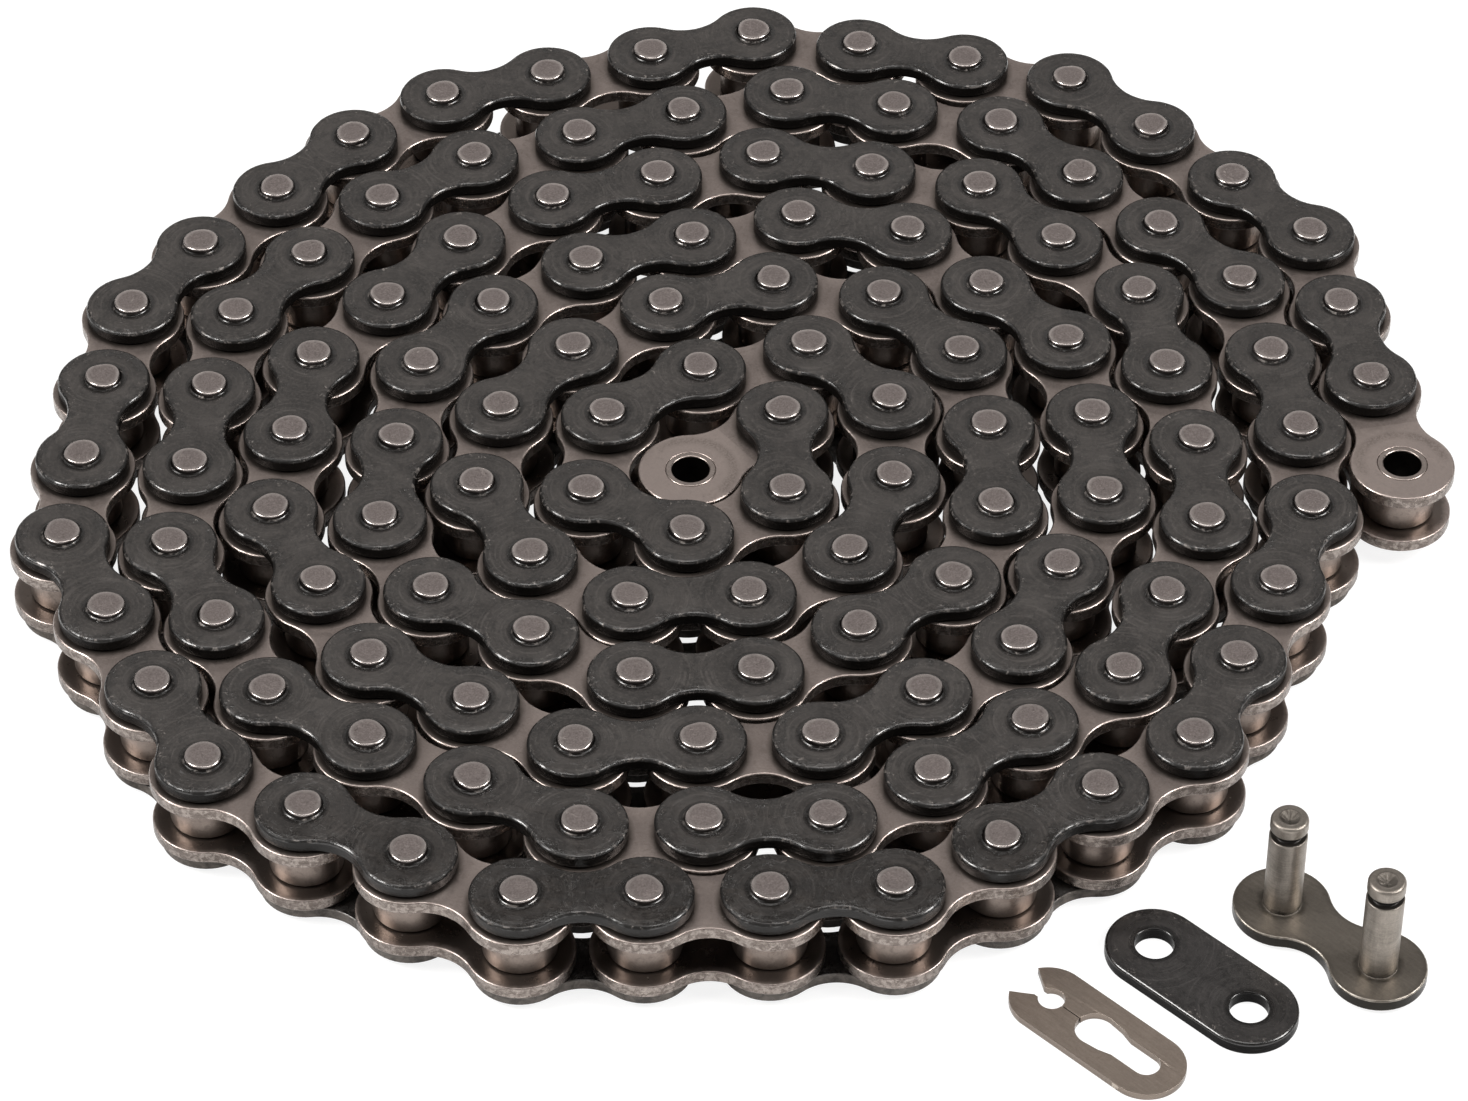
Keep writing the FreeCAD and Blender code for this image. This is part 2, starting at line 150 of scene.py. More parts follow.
def generator_at(place, salt=0):
    """A repeatable random generator for whatever stands at this place."""
    x, y = (int(round(q * 5)) for q in place)
    return np.random.default_rng((x * 73856093 ^ y * 19349663 ^ (salt * 83492791)) & 0x7FFFFFFF)


# ------------------------------------------------------------------ shapes
@dataclass
class Form:
    """A shape in a link's own axes, with a rim weight for each point."""
    points: np.ndarray
    normals: np.ndarray
    faces: list
    rims: np.ndarray


def shifted(form, dx):
    return Form(form.points + np.array([dx, 0.0, 0.0]), form.normals, form.faces, form.rims)


def turn_matrix(angle):
    c, s = math.cos(angle), math.sin(angle)
    return np.array([[c, -s, 0], [s, c, 0], [0, 0, 1.0]])


def turned(form, angle):
    turn = turn_matrix(angle).T
    return Form(form.points @ turn, form.normals @ turn, form.faces, form.rims)


def ring_faces(lower, upper, count):
    """Quads between two rings of points, given the number of each ring's first point."""
    return [(lower + k, lower + (k + 1) % count, upper + (k + 1) % count, upper + k)
            for k in range(count)]


def flat_triangles(loops, least_area):
    """Counter-clockwise triangles filling flat loops, numbered along the loops in turn."""
    points = [point for loop in loops for point in loop]
    for i, j, k in tessellate_polygon([[Vector((x, y, 0)) for x, y in loop] for loop in loops]):
        a, b, c = points[i], points[j], points[k]
        area = (b[0] - a[0]) * (c[1] - a[1]) - (b[1] - a[1]) * (c[0] - a[0])
        if abs(area) >= least_area:
            yield (i, j, k) if area > 0 else (i, k, j)


def lathe(profile, steps, closed=False):
    """Turn (r, z, normal r, normal z, rim) rows about Z; the outside runs upward.
    A closed profile makes a ring, an open one gets a cap at each end."""
    profile = np.asarray(profile, float)
    angle = np.arange(steps) * 2 * math.pi / steps
    c, s = np.cos(angle), np.sin(angle)
    points = np.vstack([np.c_[r * c, r * s, np.full(steps, z)] for r, z, _, _, _ in profile])
    normals = np.vstack([np.c_[nr * c, nr * s, np.full(steps, nz)] for _, _, nr, nz, _ in profile])
    rims = np.repeat(profile[:, 4], steps)
    faces = []
    count = len(profile)
    for i in range(count if closed else count - 1):
        faces += ring_faces(i * steps, (i + 1) % count * steps, steps)
    if not closed:
        last, centre = (count - 1) * steps, len(points)
        points = np.vstack([points, [0, 0, profile[0][1]], [0, 0, profile[-1][1]]])
        normals = np.vstack([normals, [0, 0, -1], [0, 0, 1]])
        rims = np.append(rims, [0, 0])
        faces += [((k + 1) % steps, k, centre) for k in range(steps)]
        faces += [(last + k, last + (k + 1) % steps, centre + 1) for k in range(steps)]
    return Form(points, normals, faces, rims)


def corner_rows(r_mid, z_mid, radius, start, stop, count, rim=1.0, concave=False):
    """Profile rows round a corner; its angles are in degrees from +r towards +z."""
    rows = []
    sign = -1.0 if concave else 1.0
    for angle in np.linspace(math.radians(start), math.radians(stop), count):
        c, s = math.cos(angle), math.sin(angle)
        rows.append((r_mid + radius * c, z_mid + radius * s, sign * c, sign * s, rim))
    return rows


def hollow_height(lobe, neck):
    """How far to the side of a waisted plate its hollow's centre lies."""
    return math.sqrt((lobe + neck) ** 2 - HALF ** 2)


def waisted_outline(lobe, neck, step=7.0):
    """Counter-clockwise outline of a waisted plate: points and outward normals."""
    rise = hollow_height(lobe, neck)
    wide, narrow = math.atan2(rise, -HALF), math.atan2(rise, HALF)
    lobe_count = int(round(2 * math.degrees(wide) / step))
    neck_count = max(8, int(round(math.degrees(math.pi - 2 * narrow) / step * 1.3)))
    arcs = (  # centre x, centre y, radius, start, stop, side of the metal, points
        (HALF, 0, lobe, -wide, wide, 1, lobe_count),
        (0, rise, neck, -narrow, narrow - math.pi, -1, neck_count),
        (-HALF, 0, lobe, math.pi - wide, math.pi + wide, 1, lobe_count),
        (0, -rise, neck, math.pi - narrow, narrow, -1, neck_count))
    points, normals = [], []
    for x, y, radius, start, stop, sign, count in arcs:
        for angle in np.linspace(start, stop, count, endpoint=False):
            c, s = math.cos(angle), math.sin(angle)
            points.append((x + radius * c, y + radius * s))
            normals.append((sign * c, sign * s))
    return np.array(points), np.array(normals)


def stadium_outline(radius, step=5.0):
    """Counter-clockwise outline of a straight-sided plate: points and outward normals."""
    points, normals = [], []
    for end, start in ((HALF, -90), (-HALF, 90)):
        for angle in np.radians(np.linspace(start, start + 180, int(180 / step) + 1)):
            c, s = math.cos(angle), math.sin(angle)
            points.append((end + radius * c, radius * s))
            normals.append((c, s))
        # a few points on the straight side keep the long faces even
        side = 1 if end > 0 else -1
        for x in np.linspace(end, -end, 7)[1:-1]:
            points.append((x, side * radius))
            normals.append((0, side))
    return np.array(points), np.array(normals)


def cos_sin(start, stop, count):
    """Cosine and sine at even steps between two angles in degrees."""
    angles = [math.radians(angle) for angle in np.linspace(start, stop, count)]
    return [(math.cos(angle), math.sin(angle)) for angle in angles]


def plate_form(outline, bottom, top_round, bottom_round, hole, hole_steps=34,
               hole_edge=0.08, collar=None, round_steps=4):
    """A flat plate with rounded rims and a round hole at each station. collar=(radius, rise)
    lifts a soft ring of metal and oil round each hole on the upper face."""
    top = bottom + PLATE
    edge, outward = outline
    count = len(edge)
    # outside wall from top to bottom: (inset, z, outward part, upward part, rim)
    rows = [(top_round * (1 - c), top - top_round * (1 - s), c, s, 1.0)
            for c, s in cos_sin(90, 0, round_steps + 1)]
    flat = (top - top_round) - (bottom + bottom_round)
    rows += [(0.0, top - top_round - flat * share, 1.0, 0.0, 0.25) for share in (0.33, 0.66)]
    rows += [(bottom_round * (1 - c), bottom + bottom_round * (1 + s), c, s, 0.8)
             for c, s in cos_sin(0, -90, 4)]
    points, normals, rims, faces = [], [], [], []
    for inset, z, out_part, up_part, rim in rows:
        points.append(np.c_[edge - outward * inset, np.full(count, z)])
        normals.append(np.c_[outward * out_part, np.full(count, up_part)])
        rims.append(np.full(count, rim))
    for i in range(len(rows) - 1):
        faces += ring_faces((i + 1) * count, i * count, count)

    # hole wall from top to bottom: (r, z, normal r, normal z, rim)
    if collar:
        collar_r, rise = collar
        width = collar_r - hole
        hole_rows = []
        for share in np.linspace(0, 1, 5):
            angle = share * math.pi / 2
            c, s = math.cos(angle), math.sin(angle)
            # hollow fillet: flat at the plate, steep at the pin
            hole_rows.append((collar_r - width * s, top + rise * (1 - c),
                              s * rise, max(c * width, 1e-3), 0.9))
    else:
        hole_rows = [(hole + hole_edge * (1 - c), top - hole_edge * (1 - s), -c, s, 1.0)
                     for c, s in cos_sin(90, 0, 4)]
    hole_rows += [(hole + hole_edge * (1 - c), bottom + hole_edge * (1 - s), -c, -s, 1.0)
                  for c, s in cos_sin(0, 90, 4)]
    angle = np.arange(hole_steps) * 2 * math.pi / hole_steps
    first = count * len(rows)
    top_rings, bottom_rings = [], []
    for station in (HALF, -HALF):
        for r, z, nr, nz, rim in hole_rows:
            length = math.hypot(nr, nz)
            points.append(np.c_[station + r * np.cos(angle), r * np.sin(angle),
                                np.full(hole_steps, z)])
            normals.append(np.c_[np.cos(angle) * nr / length, np.sin(angle) * nr / length,
                                 np.full(hole_steps, nz / length)])
            rims.append(np.full(hole_steps, rim))
        top_rings.append(list(range(first, first + hole_steps)))
        for _ in hole_rows[1:]:
            faces += ring_faces(first, first + hole_steps, hole_steps)
            first += hole_steps
        bottom_rings.append(list(range(first, first + hole_steps)))
        first += hole_steps
    points = np.vstack(points)

    lowest = (len(rows) - 1) * count
    for start, rings, upward in ((0, top_rings, True), (lowest, bottom_rings, False)):
        loops = [list(range(start, start + count))] + [ring[::-1] for ring in rings]
        numbers = [i for loop in loops for i in loop]
        for i, j, k in flat_triangles([[points[n][:2] for n in loop] for loop in loops], 1e-9):
            corners = (i, j, k) if upward else (i, k, j)
            faces.append(tuple(numbers[n] for n in corners))
    return Form(points, np.vstack(normals), faces, np.concatenate(rims))


def pin_form(rng, steps=40):
    """A riveted pin. Its upper head stands 0.6 mm proud: pressed a little out of round,
    its rim dubbed over, its face nearly flat and a touch tilted."""
    foot, edge = 0.2, 0.17
    rows = corner_rows(PIN_R - foot, foot, foot, -90, 0, 4)
    rows += [(PIN_R, z, 1, 0, 0) for z in (0.62, Z_OUT_TOP, 11.9)]
    rows += [(PIN_R + 0.02, 12.05, 1, 0.05, 0.2), (PIN_R + 0.01, 12.22, 1, 0.05, 0.2)]
    rows += corner_rows(PIN_R - edge, PIN_TOP - edge, edge, 0, 90, 5)
    rows += [(1.4, PIN_TOP, 0, 1, 0), (0.7, PIN_TOP, 0, 1, 0)]
    form = lathe(rows, steps)
    points, normals = form.points, form.normals
    angle = np.arctan2(points[:, 1], points[:, 0])
    r = np.hypot(points[:, 0], points[:, 1])
    head = np.clip((points[:, 2] - 11.98) / 0.5, 0, 1)
    swell = np.zeros(len(angle))
    for waves, size in ((2, 0.026), (3, 0.024), (4, 0.014), (5, 0.009)):
        swell += (size * rng.uniform(0.3, 1.0)
                  * np.cos(waves * angle + rng.uniform(0, 2 * math.pi)))
    # one or two flats where the riveting tool has pressed the rim in
    for _ in range(rng.integers(1, 3)):
        swell -= (rng.uniform(0.03, 0.09)
                  * np.clip(np.cos(angle - rng.uniform(0, 2 * math.pi)), 0, 1) ** 5)
    swell = np.clip(swell - 0.012, -0.12, 0.014)
    points[:, :2] *= (1 + head * swell)[:, None]
    # tilt of the face, always at or under the full height
    tilt = rng.uniform(0.004, 0.022)
    way = rng.uniform(0, 2 * math.pi)
    face = np.clip((points[:, 2] - (PIN_TOP - 0.25)) / 0.25, 0, 1)
    points[:, 2] -= face * tilt * (1 + np.cos(angle - way) * r / PIN_R)
    flat = normals[:, 2] > 0.9
    normals[flat, 0] += tilt / PIN_R * math.cos(way)
    normals[flat, 1] += tilt / PIN_R * math.sin(way)
    normals /= np.linalg.norm(normals, axis=1)[:, None]
    return form


def bush_form(steps=48):
    z0, z1 = BUSH_Z
    outer_edge, bore_edge = 0.16, 0.22
    middle = (z0 + z1) / 2
    rows = corner_rows(BUSH_R - outer_edge, z0 + outer_edge, outer_edge, -90, 0, 3)
    rows += [(BUSH_R, middle, 1, 0, 0)]
    rows += corner_rows(BUSH_R - outer_edge, z1 - outer_edge, outer_edge, 0, 90, 4)
    rows += corner_rows(BUSH_BORE + bore_edge, z1 - bore_edge, bore_edge, 90, 180, 5)
    rows += [(BUSH_BORE, middle, -1, 0, 0)]
    rows += corner_rows(BUSH_BORE + bore_edge, z0 + bore_edge, bore_edge, 180, 270, 3)
    return lathe(rows, steps, closed=True)


def roller_form(steps=50):
    z0, z1 = ROLLER_Z
    outer_edge, bore_edge = 0.3, 0.2
    rows = corner_rows(ROLLER_R - outer_edge, z0 + outer_edge, outer_edge, -90, 0, 4)
    rows += [(ROLLER_R, z, 1, 0, 0) for z in (z0 + 1.2, (z0 + z1) / 2, z1 - 1.2)]
    rows += corner_rows(ROLLER_R - outer_edge, z1 - outer_edge, outer_edge, 0, 90, 4)
    rows += corner_rows(ROLLER_BORE + bore_edge, z1 - bore_edge, bore_edge, 90, 180, 3)
    rows += corner_rows(ROLLER_BORE + bore_edge, z0 + bore_edge, bore_edge, 180, 270, 3)
    return lathe(rows, steps, closed=True)


# ------------------------------------------------------------------ objects
def add_attribute(mesh, name, values):
    """A point attribute: a vector for each point if values has columns, else a number."""
    values = np.asarray(values, np.float32)
    kind, key = ("FLOAT_VECTOR", "vector") if values.ndim == 2 else ("FLOAT", "value")
    mesh.attributes.new(name, kind, "POINT").data.foreach_set(key, values.ravel())


def set_smooth(mesh):
    mesh.polygons.foreach_set("use_smooth", np.ones(len(mesh.polygons), bool))


def new_object(name, mesh, material):
    mesh.materials.append(material)
    thing = bpy.data.objects.new(name, mesh)
    bpy.context.scene.collection.objects.link(thing)
    return thing


def stand_in(thing, node):
    """Let an object take the place of a CAD node."""
    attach(thing, BODY[node])
    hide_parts(node)


class Heap:
    """Gathers placed forms into the one object that replaces a CAD node."""

    def __init__(self, node):
        self.node = node
        self.points, self.normals, self.faces = [], [], []
        self.locals, self.rims, self.numbers, self.opens = [], [], [], []
        self.total = 0

    def add(self, form, middle, heading, number, lean=None, free=0):
        """number tells links apart in the materials; free is the sign of an unpinned end."""
        count = len(form.points)
        points, normals = form.points.copy(), form.normals
        if lean is not None:
            points[:, 2] += lean[0] * points[:, 1] + lean[1] * points[:, 0]
            normals = normals + np.array([-lean[1], -lean[0], 0.0]) * normals[:, 2:3]
        turn = turn_matrix(heading).T
        self.points.append(points @ turn + np.array([middle[0], middle[1], 0.0]))
        self.normals.append(normals @ turn)
        self.locals.append(form.points)
        self.opens.append(np.full(count, float(free)))
        self.rims.append(form.rims)
        self.numbers.append(np.full(count, number))
        self.faces += [tuple(i + self.total for i in face) for face in form.faces]
        self.total += count

    def build(self, material):
        name = self.node + "_look"
        mesh = bpy.data.meshes.new(name)
        mesh.from_pydata((np.vstack(self.points) * MM).tolist(), [], self.faces)
        set_smooth(mesh)
        add_attribute(mesh, "loc", np.vstack(self.locals))
        add_attribute(mesh, "rim", np.concatenate(self.rims))
        add_attribute(mesh, "rnd", np.concatenate(self.numbers))
        add_attribute(mesh, "open", np.concatenate(self.opens))
        mesh.update()
        normals = np.vstack(self.normals)
        normals /= np.maximum(np.linalg.norm(normals, axis=1), 1e-9)[:, None]
        mesh.normals_split_custom_set_from_vertices(normals.tolist())
        stand_in(new_object(name, mesh, material), self.node)


# ------------------------------------------------------------------ shader nodes
class Value:
    """An output socket; arithmetic on it makes Math nodes."""

    def __init__(self, nodes, socket):
        self.nodes = nodes
        self.socket = socket

    def __add__(self, other):
        return self.nodes.math("ADD", self, other)

    def __radd__(self, other):
        return self.nodes.math("ADD", other, self)

    def __sub__(self, other):
        return self.nodes.math("SUBTRACT", self, other)

    def __rsub__(self, other):
        return self.nodes.math("SUBTRACT", other, self)

    def __mul__(self, other):
        return self.nodes.math("MULTIPLY", self, other)

    def __truediv__(self, other):
        return self.nodes.math("DIVIDE", self, other)

    def __abs__(self):
        return self.nodes.math("ABSOLUTE", self)

    def ramp(self, over=(0, 1), to=(0, 1), smooth=False):
        """Carry the range `over` onto the range `to`, held at its ends."""
        kind = "SMOOTHSTEP" if smooth else "LINEAR"
        inputs = dict(enumerate((self, *over, *to)))
        return self.nodes.add("MapRange", inputs, interpolation_type=kind)


class Nodes:
    """Makes and links nodes in one tree."""

    def __init__(self, tree):
        self.tree = tree

    def put(self, socket, value):
        if isinstance(value, Value):
            self.tree.links.new(value.socket, socket)
            return
        if isinstance(value, tuple) and len(value) < len(socket.default_value):
            value += (1.0,)
        socket.default_value = value

    def new(self, kind, inputs, **settings):
        node = self.tree.nodes.new("ShaderNode" + kind)
        for name, setting in settings.items():
            setattr(node, name, setting)
        for key, value in inputs.items():
            self.put(node.inputs[key], value)
        return node

    def add(self, kind, inputs, output=0, **settings):
        return Value(self, self.new(kind, inputs, **settings).outputs[output])

    def math(self, operation, *values):
        return self.add("Math", dict(enumerate(values)), operation=operation)

    def vector_math(self, operation, *values):
        return self.add("VectorMath", dict(enumerate(values)), operation=operation)

    def split(self, vector):
        return [Value(self, out) for out in self.new("SeparateXYZ", {0: vector}).outputs]

    def join(self, *values):
        return self.add("CombineXYZ", dict(enumerate(values)))

    def stretch(self, vector, factors):
        return self.vector_math("MULTIPLY", vector, factors)

    def attribute(self, name, output="Fac"):
        return self.add("Attribute", {}, output, attribute_type="GEOMETRY", attribute_name=name)

    def geometry(self, output):
        return self.add("NewGeometry", {}, output)

    def noise(self, vector, scale=1.0, detail=3.0, rough=0.55, distort=0.0):
        return self.add("TexNoise", {"Vector": vector, "Scale": scale, "Detail": detail,
                                     "Roughness": rough, "Distortion": distort})

    def cells(self, vector, scale):
        return self.add("TexVoronoi", {"Vector": vector, "Scale": scale}, "Distance")

    def blend(self, amount, low, high):
        """A number going from low to high as the amount goes from 0 to 1."""
        return self.add("Mix", {0: amount, 2: low, 3: high}, data_type="FLOAT")

    def paint(self, colour, *layers):
        """Cover a colour with (amount, colour) layers, lowest first."""
        for amount, above in layers:
            colour = self.add("Mix", {0: amount, 6: colour, 7: above}, 2, data_type="RGBA")
        return colour


class LinkMaterial(Nodes):
    """A principled material that knows, in mm, where a point is on its own link."""

    def __init__(self, name):
        self.material = bpy.data.materials.new(name)
        self.material.use_nodes = True
        super().__init__(self.material.node_tree)
        self.tree.nodes.clear()
        output = self.new("OutputMaterial", {})
        self.surface = self.new("BsdfPrincipled", {})
        self.tree.links.new(self.surface.outputs[0], output.inputs[0])

    def finish(self, height, bump, **inputs):
        """Set the surface, with its relief in mm, and return the material."""
        inputs["Normal"] = self.add("Bump", {"Strength": bump, "Distance": MM, "Height": height})
        for name, value in inputs.items():
            self.put(self.surface.inputs[name.replace("_", " ")], value)
        return self.material

    @cached_property
    def loc(self):
        return self.attribute("loc", "Vector")

    @cached_property
    def number(self):
        return self.attribute("rnd")

    @cached_property
    def xyz(self):
        return self.split(self.loc)

    @cached_property
    def own(self):
        """The place on the link, shifted by the link's number so that none repeat."""
        number = self.number
        shift = self.join(number * 371.0, number * -211.0, number * 97.0)
        return self.vector_math("ADD", self.loc, shift)

    @cached_property
    def beyond(self):
        """How far past the nearer station, along the link."""
        return abs(self.xyz[0]) - HALF

    @cached_property
    def dist(self):
        """Distance from the nearer station."""
        y = self.xyz[1]
        return self.math("SQRT", self.beyond * self.beyond + y * y)

    @cached_property
    def angle(self):
        """Direction from the nearer station."""
        return self.math("ARCTAN2", self.xyz[1], self.beyond)

    @cached_property
    def up(self):
        """1 on tops, 0 on walls, -1 on undersides."""
        return self.split(self.geometry("Normal"))[2]


def nearness(m):
    """1 on the front (-Y) turns of the coil, which carry the most oil, 0 behind them."""
    return m.split(m.geometry("Position"))[1].ramp(over=(-0.044, -0.066), smooth=True)


def to_rim(m, lobe, neck):
    """Distance from a point of a plate to its outline; neck is None if its sides are straight."""
    x, y, _ = m.xyz
    if neck is None:
        inside = m.math("LESS_THAN", abs(x), HALF)
        return m.blend(inside, lobe - m.dist, lobe - abs(y))
    rise = hollow_height(lobe, neck)
    y_size = abs(y)
    dy = y_size - rise
    far = m.math("SQRT", x * x + dy * dy)
    waist = m.math("LESS_THAN", abs(x) / HALF + y_size / rise, 1.0)
    return m.blend(waist, lobe - m.dist, far - neck)


def shade(colour, factor):
    return tuple(part * factor for part in colour)


def between(first, second, share):
    return tuple((1 - share) * a + share * b for a, b in zip(first, second))


# ------------------------------------------------------------------ materials
def black_plate(name, base, shape, oily, wall_shine, worn_share, bare_low, clean):
    """Blackened steel with a thin, uneven coat of oil: arc-shaped rub marks round the pins,
    thick black oil along stretches of the rim with bubbles in it, glossy sheared sides and
    bare metal on worn corners. bare_low bares the sides of low plates; clean evens it all."""
    m = LinkMaterial(name)
    own, dist, up = m.own, m.dist, m.up
    top = up.ramp(over=(0.90, 0.985))
    corner = up.ramp(over=(0.98, 0.90)) * up.ramp(over=(0.12, 0.45))
    wet = nearness(m) * (1 - clean)
    edge = to_rim(m, *shape)
    near_pin = dist.ramp(over=(2.30, 2.85), to=(1, 0), smooth=True)

    # arc-shaped rub marks, and unevenness from broad to fine
    around = m.join(dist * 3.6, m.angle * 0.5, m.number * 53.0)
    arcs = m.noise(around, rough=0.6, distort=0.5)
    cloud = m.noise(own, scale=0.20, distort=0.3)
    smear = m.noise(m.stretch(own, (0.30, 0.8, 0.5)), scale=0.55, detail=4, rough=0.62,
                    distort=1.4)
    mottle = m.noise(own, scale=1.25, detail=5, rough=0.72, distort=0.6)
    fine = m.noise(own, scale=3.2, detail=4, rough=0.65)

    # oil: a ragged band left along the rim, and splashes elsewhere
    where = m.noise(own, scale=0.26, rough=0.6, distort=0.7)
    rag = m.noise(own, scale=1.1, rough=0.6, distort=0.8)
    reach = where.ramp(over=(0.44, 0.66), to=(0, 1.9 * oily)) + (rag - 0.5) * 1.5
    band = (reach - edge).ramp(over=(-0.60, 0.75), smooth=True)
    splash = (smear + rag * 0.35).ramp(over=(0.76, 1.02), smooth=True)
    oil = m.math("MAXIMUM", band, splash * (0.5 * oily))

    # bubbles and crumbs in the oil, and small pocks
    bead = m.cells(own, scale=1.55).ramp(over=(0.05, 0.24), to=(1, 0), smooth=True)
    some = m.noise(own, scale=0.75, detail=2, rough=0.5).ramp(over=(0.50, 0.60))
    bead = bead * some * m.math("MAXIMUM", oil, near_pin * 0.5)
    pocks = m.cells(own, scale=0.62).ramp(over=(0.03, 0.13), to=(1, 0), smooth=True)

    # nicks near the rim; thin bent folds of oil; bare low sides; worn corners
    nicks = m.noise(own, scale=2.1, detail=5, rough=0.72, distort=0.9).ramp(over=(0.60, 0.68))
    nicks = nicks * edge.ramp(over=(1.6, 0.5), to=(0.06, 0.9))
    bent = m.noise(m.join(dist * 1.5, m.angle * 1.9, m.number * 31.0), detail=4, rough=0.62,
                   distort=1.1)
    fold = abs(bent - 0.52).ramp(over=(0.022, 0.004), smooth=True)
    fold_share = m.noise(own, scale=0.55, rough=0.6, distort=0.4).ramp(over=(0.50, 0.60))
    fold = fold * fold_share * (top * m.blend(wet, 0.12, 0.8)) * (1 - clean)
    bare = m.xyz[2].ramp(over=(3, 2)) * (1 - top) * bare_low
    bare_share = m.noise(own, scale=0.8, detail=4, rough=0.66, distort=0.6).ramp(
        over=(0.34, 0.62), to=(0.95, 0.35))
    worn = corner * m.noise(own, scale=0.95, detail=5, rough=0.70, distort=0.9).ramp(
        over=(0.55, 0.66), to=(0, 0.65 * worn_share))

    colour = m.paint(
        shade(base, 0.75),
        (cloud.ramp(over=(0.36, 0.66)), shade(base, 1.6)),
        (arcs.ramp(over=(0.52, 0.74), to=(0, 0.75)), shade(base, 2.9)),
        (mottle.ramp(over=(0.50, 0.66)) * 0.65, shade(base, 0.3)),
        (fine.ramp(over=(0.48, 0.68)) * 0.55, shade(base, 2.6)),
        (oil * 0.6, shade(base, 0.35)),
        (near_pin * 0.85, shade(base, 0.25)),
        (nicks * top, (0.20, 0.18, 0.165)),
        (wet * smear.ramp(over=(0.40, 0.62), to=(0.66, 0.10)), shade(base, 0.3)),
        (fold * 0.5, (0.085, 0.080, 0.076)),
        # the walls are painted darker than the face: painted shade
        (1 - top, shade(base, 0.3)),
        (bare * bare_share, (0.165, 0.146, 0.131)),
        (worn * 0.8, (0.33, 0.30, 0.28)))

    # roughness: uneven on the face, smooth in oil and round the pins, even on a clean part
    rough = m.blend(cloud.ramp(over=(0.3, 0.7)), 0.35, 0.46)
    rough = rough + (arcs - 0.5) * 0.34 + (mottle - 0.5) * 0.30
    rough = m.blend(smear.ramp(over=(0.50, 0.72), to=(0, 0.45 * oily)), rough, 0.24)
    rough = m.blend(oil * 0.6, rough, 0.20)
    rough = rough - wet * mottle.ramp(over=(0.42, 0.62), to=(0, 0.12))
    rough = m.blend(near_pin, rough, 0.09)
    rough = m.blend(1 - top, rough, 0.26)
    if clean:
        rough = m.blend(clean, rough, 0.25)
    # where the rolled corner is bright
    line = m.noise(own, scale=0.46, rough=0.6, distort=0.5).ramp(
        over=(0.45 - 0.25 * clean, 0.57 - 0.25 * clean))
    rough = m.blend(corner * (1 - line), rough, 0.50)

    # shine: dull walls, streaky wet tops, and corners near a pin dulled where pooled
    plain = up.ramp(over=(0.02, 0.30))                   # 0 on the walls, 1 on corner and top
    normal_x = m.split(m.geometry("Normal"))[0]
    pool = near_pin * (abs(normal_x) + rag * 0.3).ramp(over=(0.52, 0.30))
    dry_shine = m.blend(top, m.blend(line, 0.22, 0.60), 0.60)
    wet_shine = (smear + (mottle - 0.5) * 0.5).ramp(over=(0.42, 0.62), to=(0.50, 0.20))
    shine = m.blend(pool * corner, m.blend(wet * top, dry_shine, wet_shine), 0.04)
    shine = m.blend(plain, m.blend(wet, 0.05, wall_shine), shine)
    coat = m.blend(top, m.blend(line, 0.03, 0.55), m.blend(oil, 0.08, 0.40))
    coat = plain * (1 - pool * corner) * coat

    # relief of the face, rolled down towards the rim, and of the sheared side
    face = arcs * 0.034 + cloud * 0.12 + fine * 0.022 + mottle * 0.030 + smear * 0.055
    face = face * (1 + wet * 1.1) + fold * 0.05 + band * (rag * 0.10) + bead * 0.10
    face = face - edge.ramp(over=(0, 1.15), to=(0.16, 0), smooth=True) - pocks * 0.02
    face = face * (1 - 0.8 * clean)
    side = m.noise(m.stretch(own, (0.55, 0.55, 1.3)), scale=1.5, detail=4, rough=0.62,
                   distort=0.5) * (0.10 * (1 - 0.6 * clean))
    return m.finish(m.blend(top, side, face), bump=0.9, Base_Color=colour, Roughness=rough,
                    Metallic=worn * 0.85, IOR=1.55, Specular_IOR_Level=shine,
                    Coat_Weight=coat, Coat_Roughness=0.07)


@dataclass
class Steel:
    """Rolled steel under a film of oil, with brownish smudges, before its special marks."""
    name: str
    base: tuple
    dark: tuple
    roughness: tuple      # from smooth patches to rough ones
    stain: float          # strength of the smudges

    def __post_init__(self):
        m = self.m = LinkMaterial(self.name)
        own = m.own
        cloud = m.noise(own, scale=0.30, detail=4, rough=0.6, distort=0.6)
        spots = self.spots = m.noise(own, scale=1.1, detail=4, rough=0.65, distort=0.5)
        fine = self.fine = m.noise(own, scale=4, detail=4, rough=0.7)
        brushed = m.noise(m.stretch(own, (0.5, 4, 4)), rough=0.6)
        self.colour = m.paint(
            self.base,
            (cloud.ramp(over=(0.32, 0.68)), between(self.base, self.dark, 0.26)),
            (spots.ramp(over=(0.52, 0.74)) * self.stain, self.dark),
            (fine.ramp(over=(0.42, 0.72)) * 0.225, shade(self.base, 1.6)))
        self.side = 1 - abs(abs(m.up).ramp(over=(0.6, 0.95)))
        self.rough = m.blend(cloud.ramp(over=(0.3, 0.7)), *self.roughness) + (spots - 0.5) * 0.26
        self.height = cloud * 0.05 + spots * 0.016 + fine * 0.006 + brushed * 0.0015

    def finish(self, colour, rough, height):
        return self.m.finish(height, bump=0.85, Base_Color=colour, Roughness=rough,
                             Metallic=0.92, Coat_Weight=0.15, Coat_Roughness=0.12)


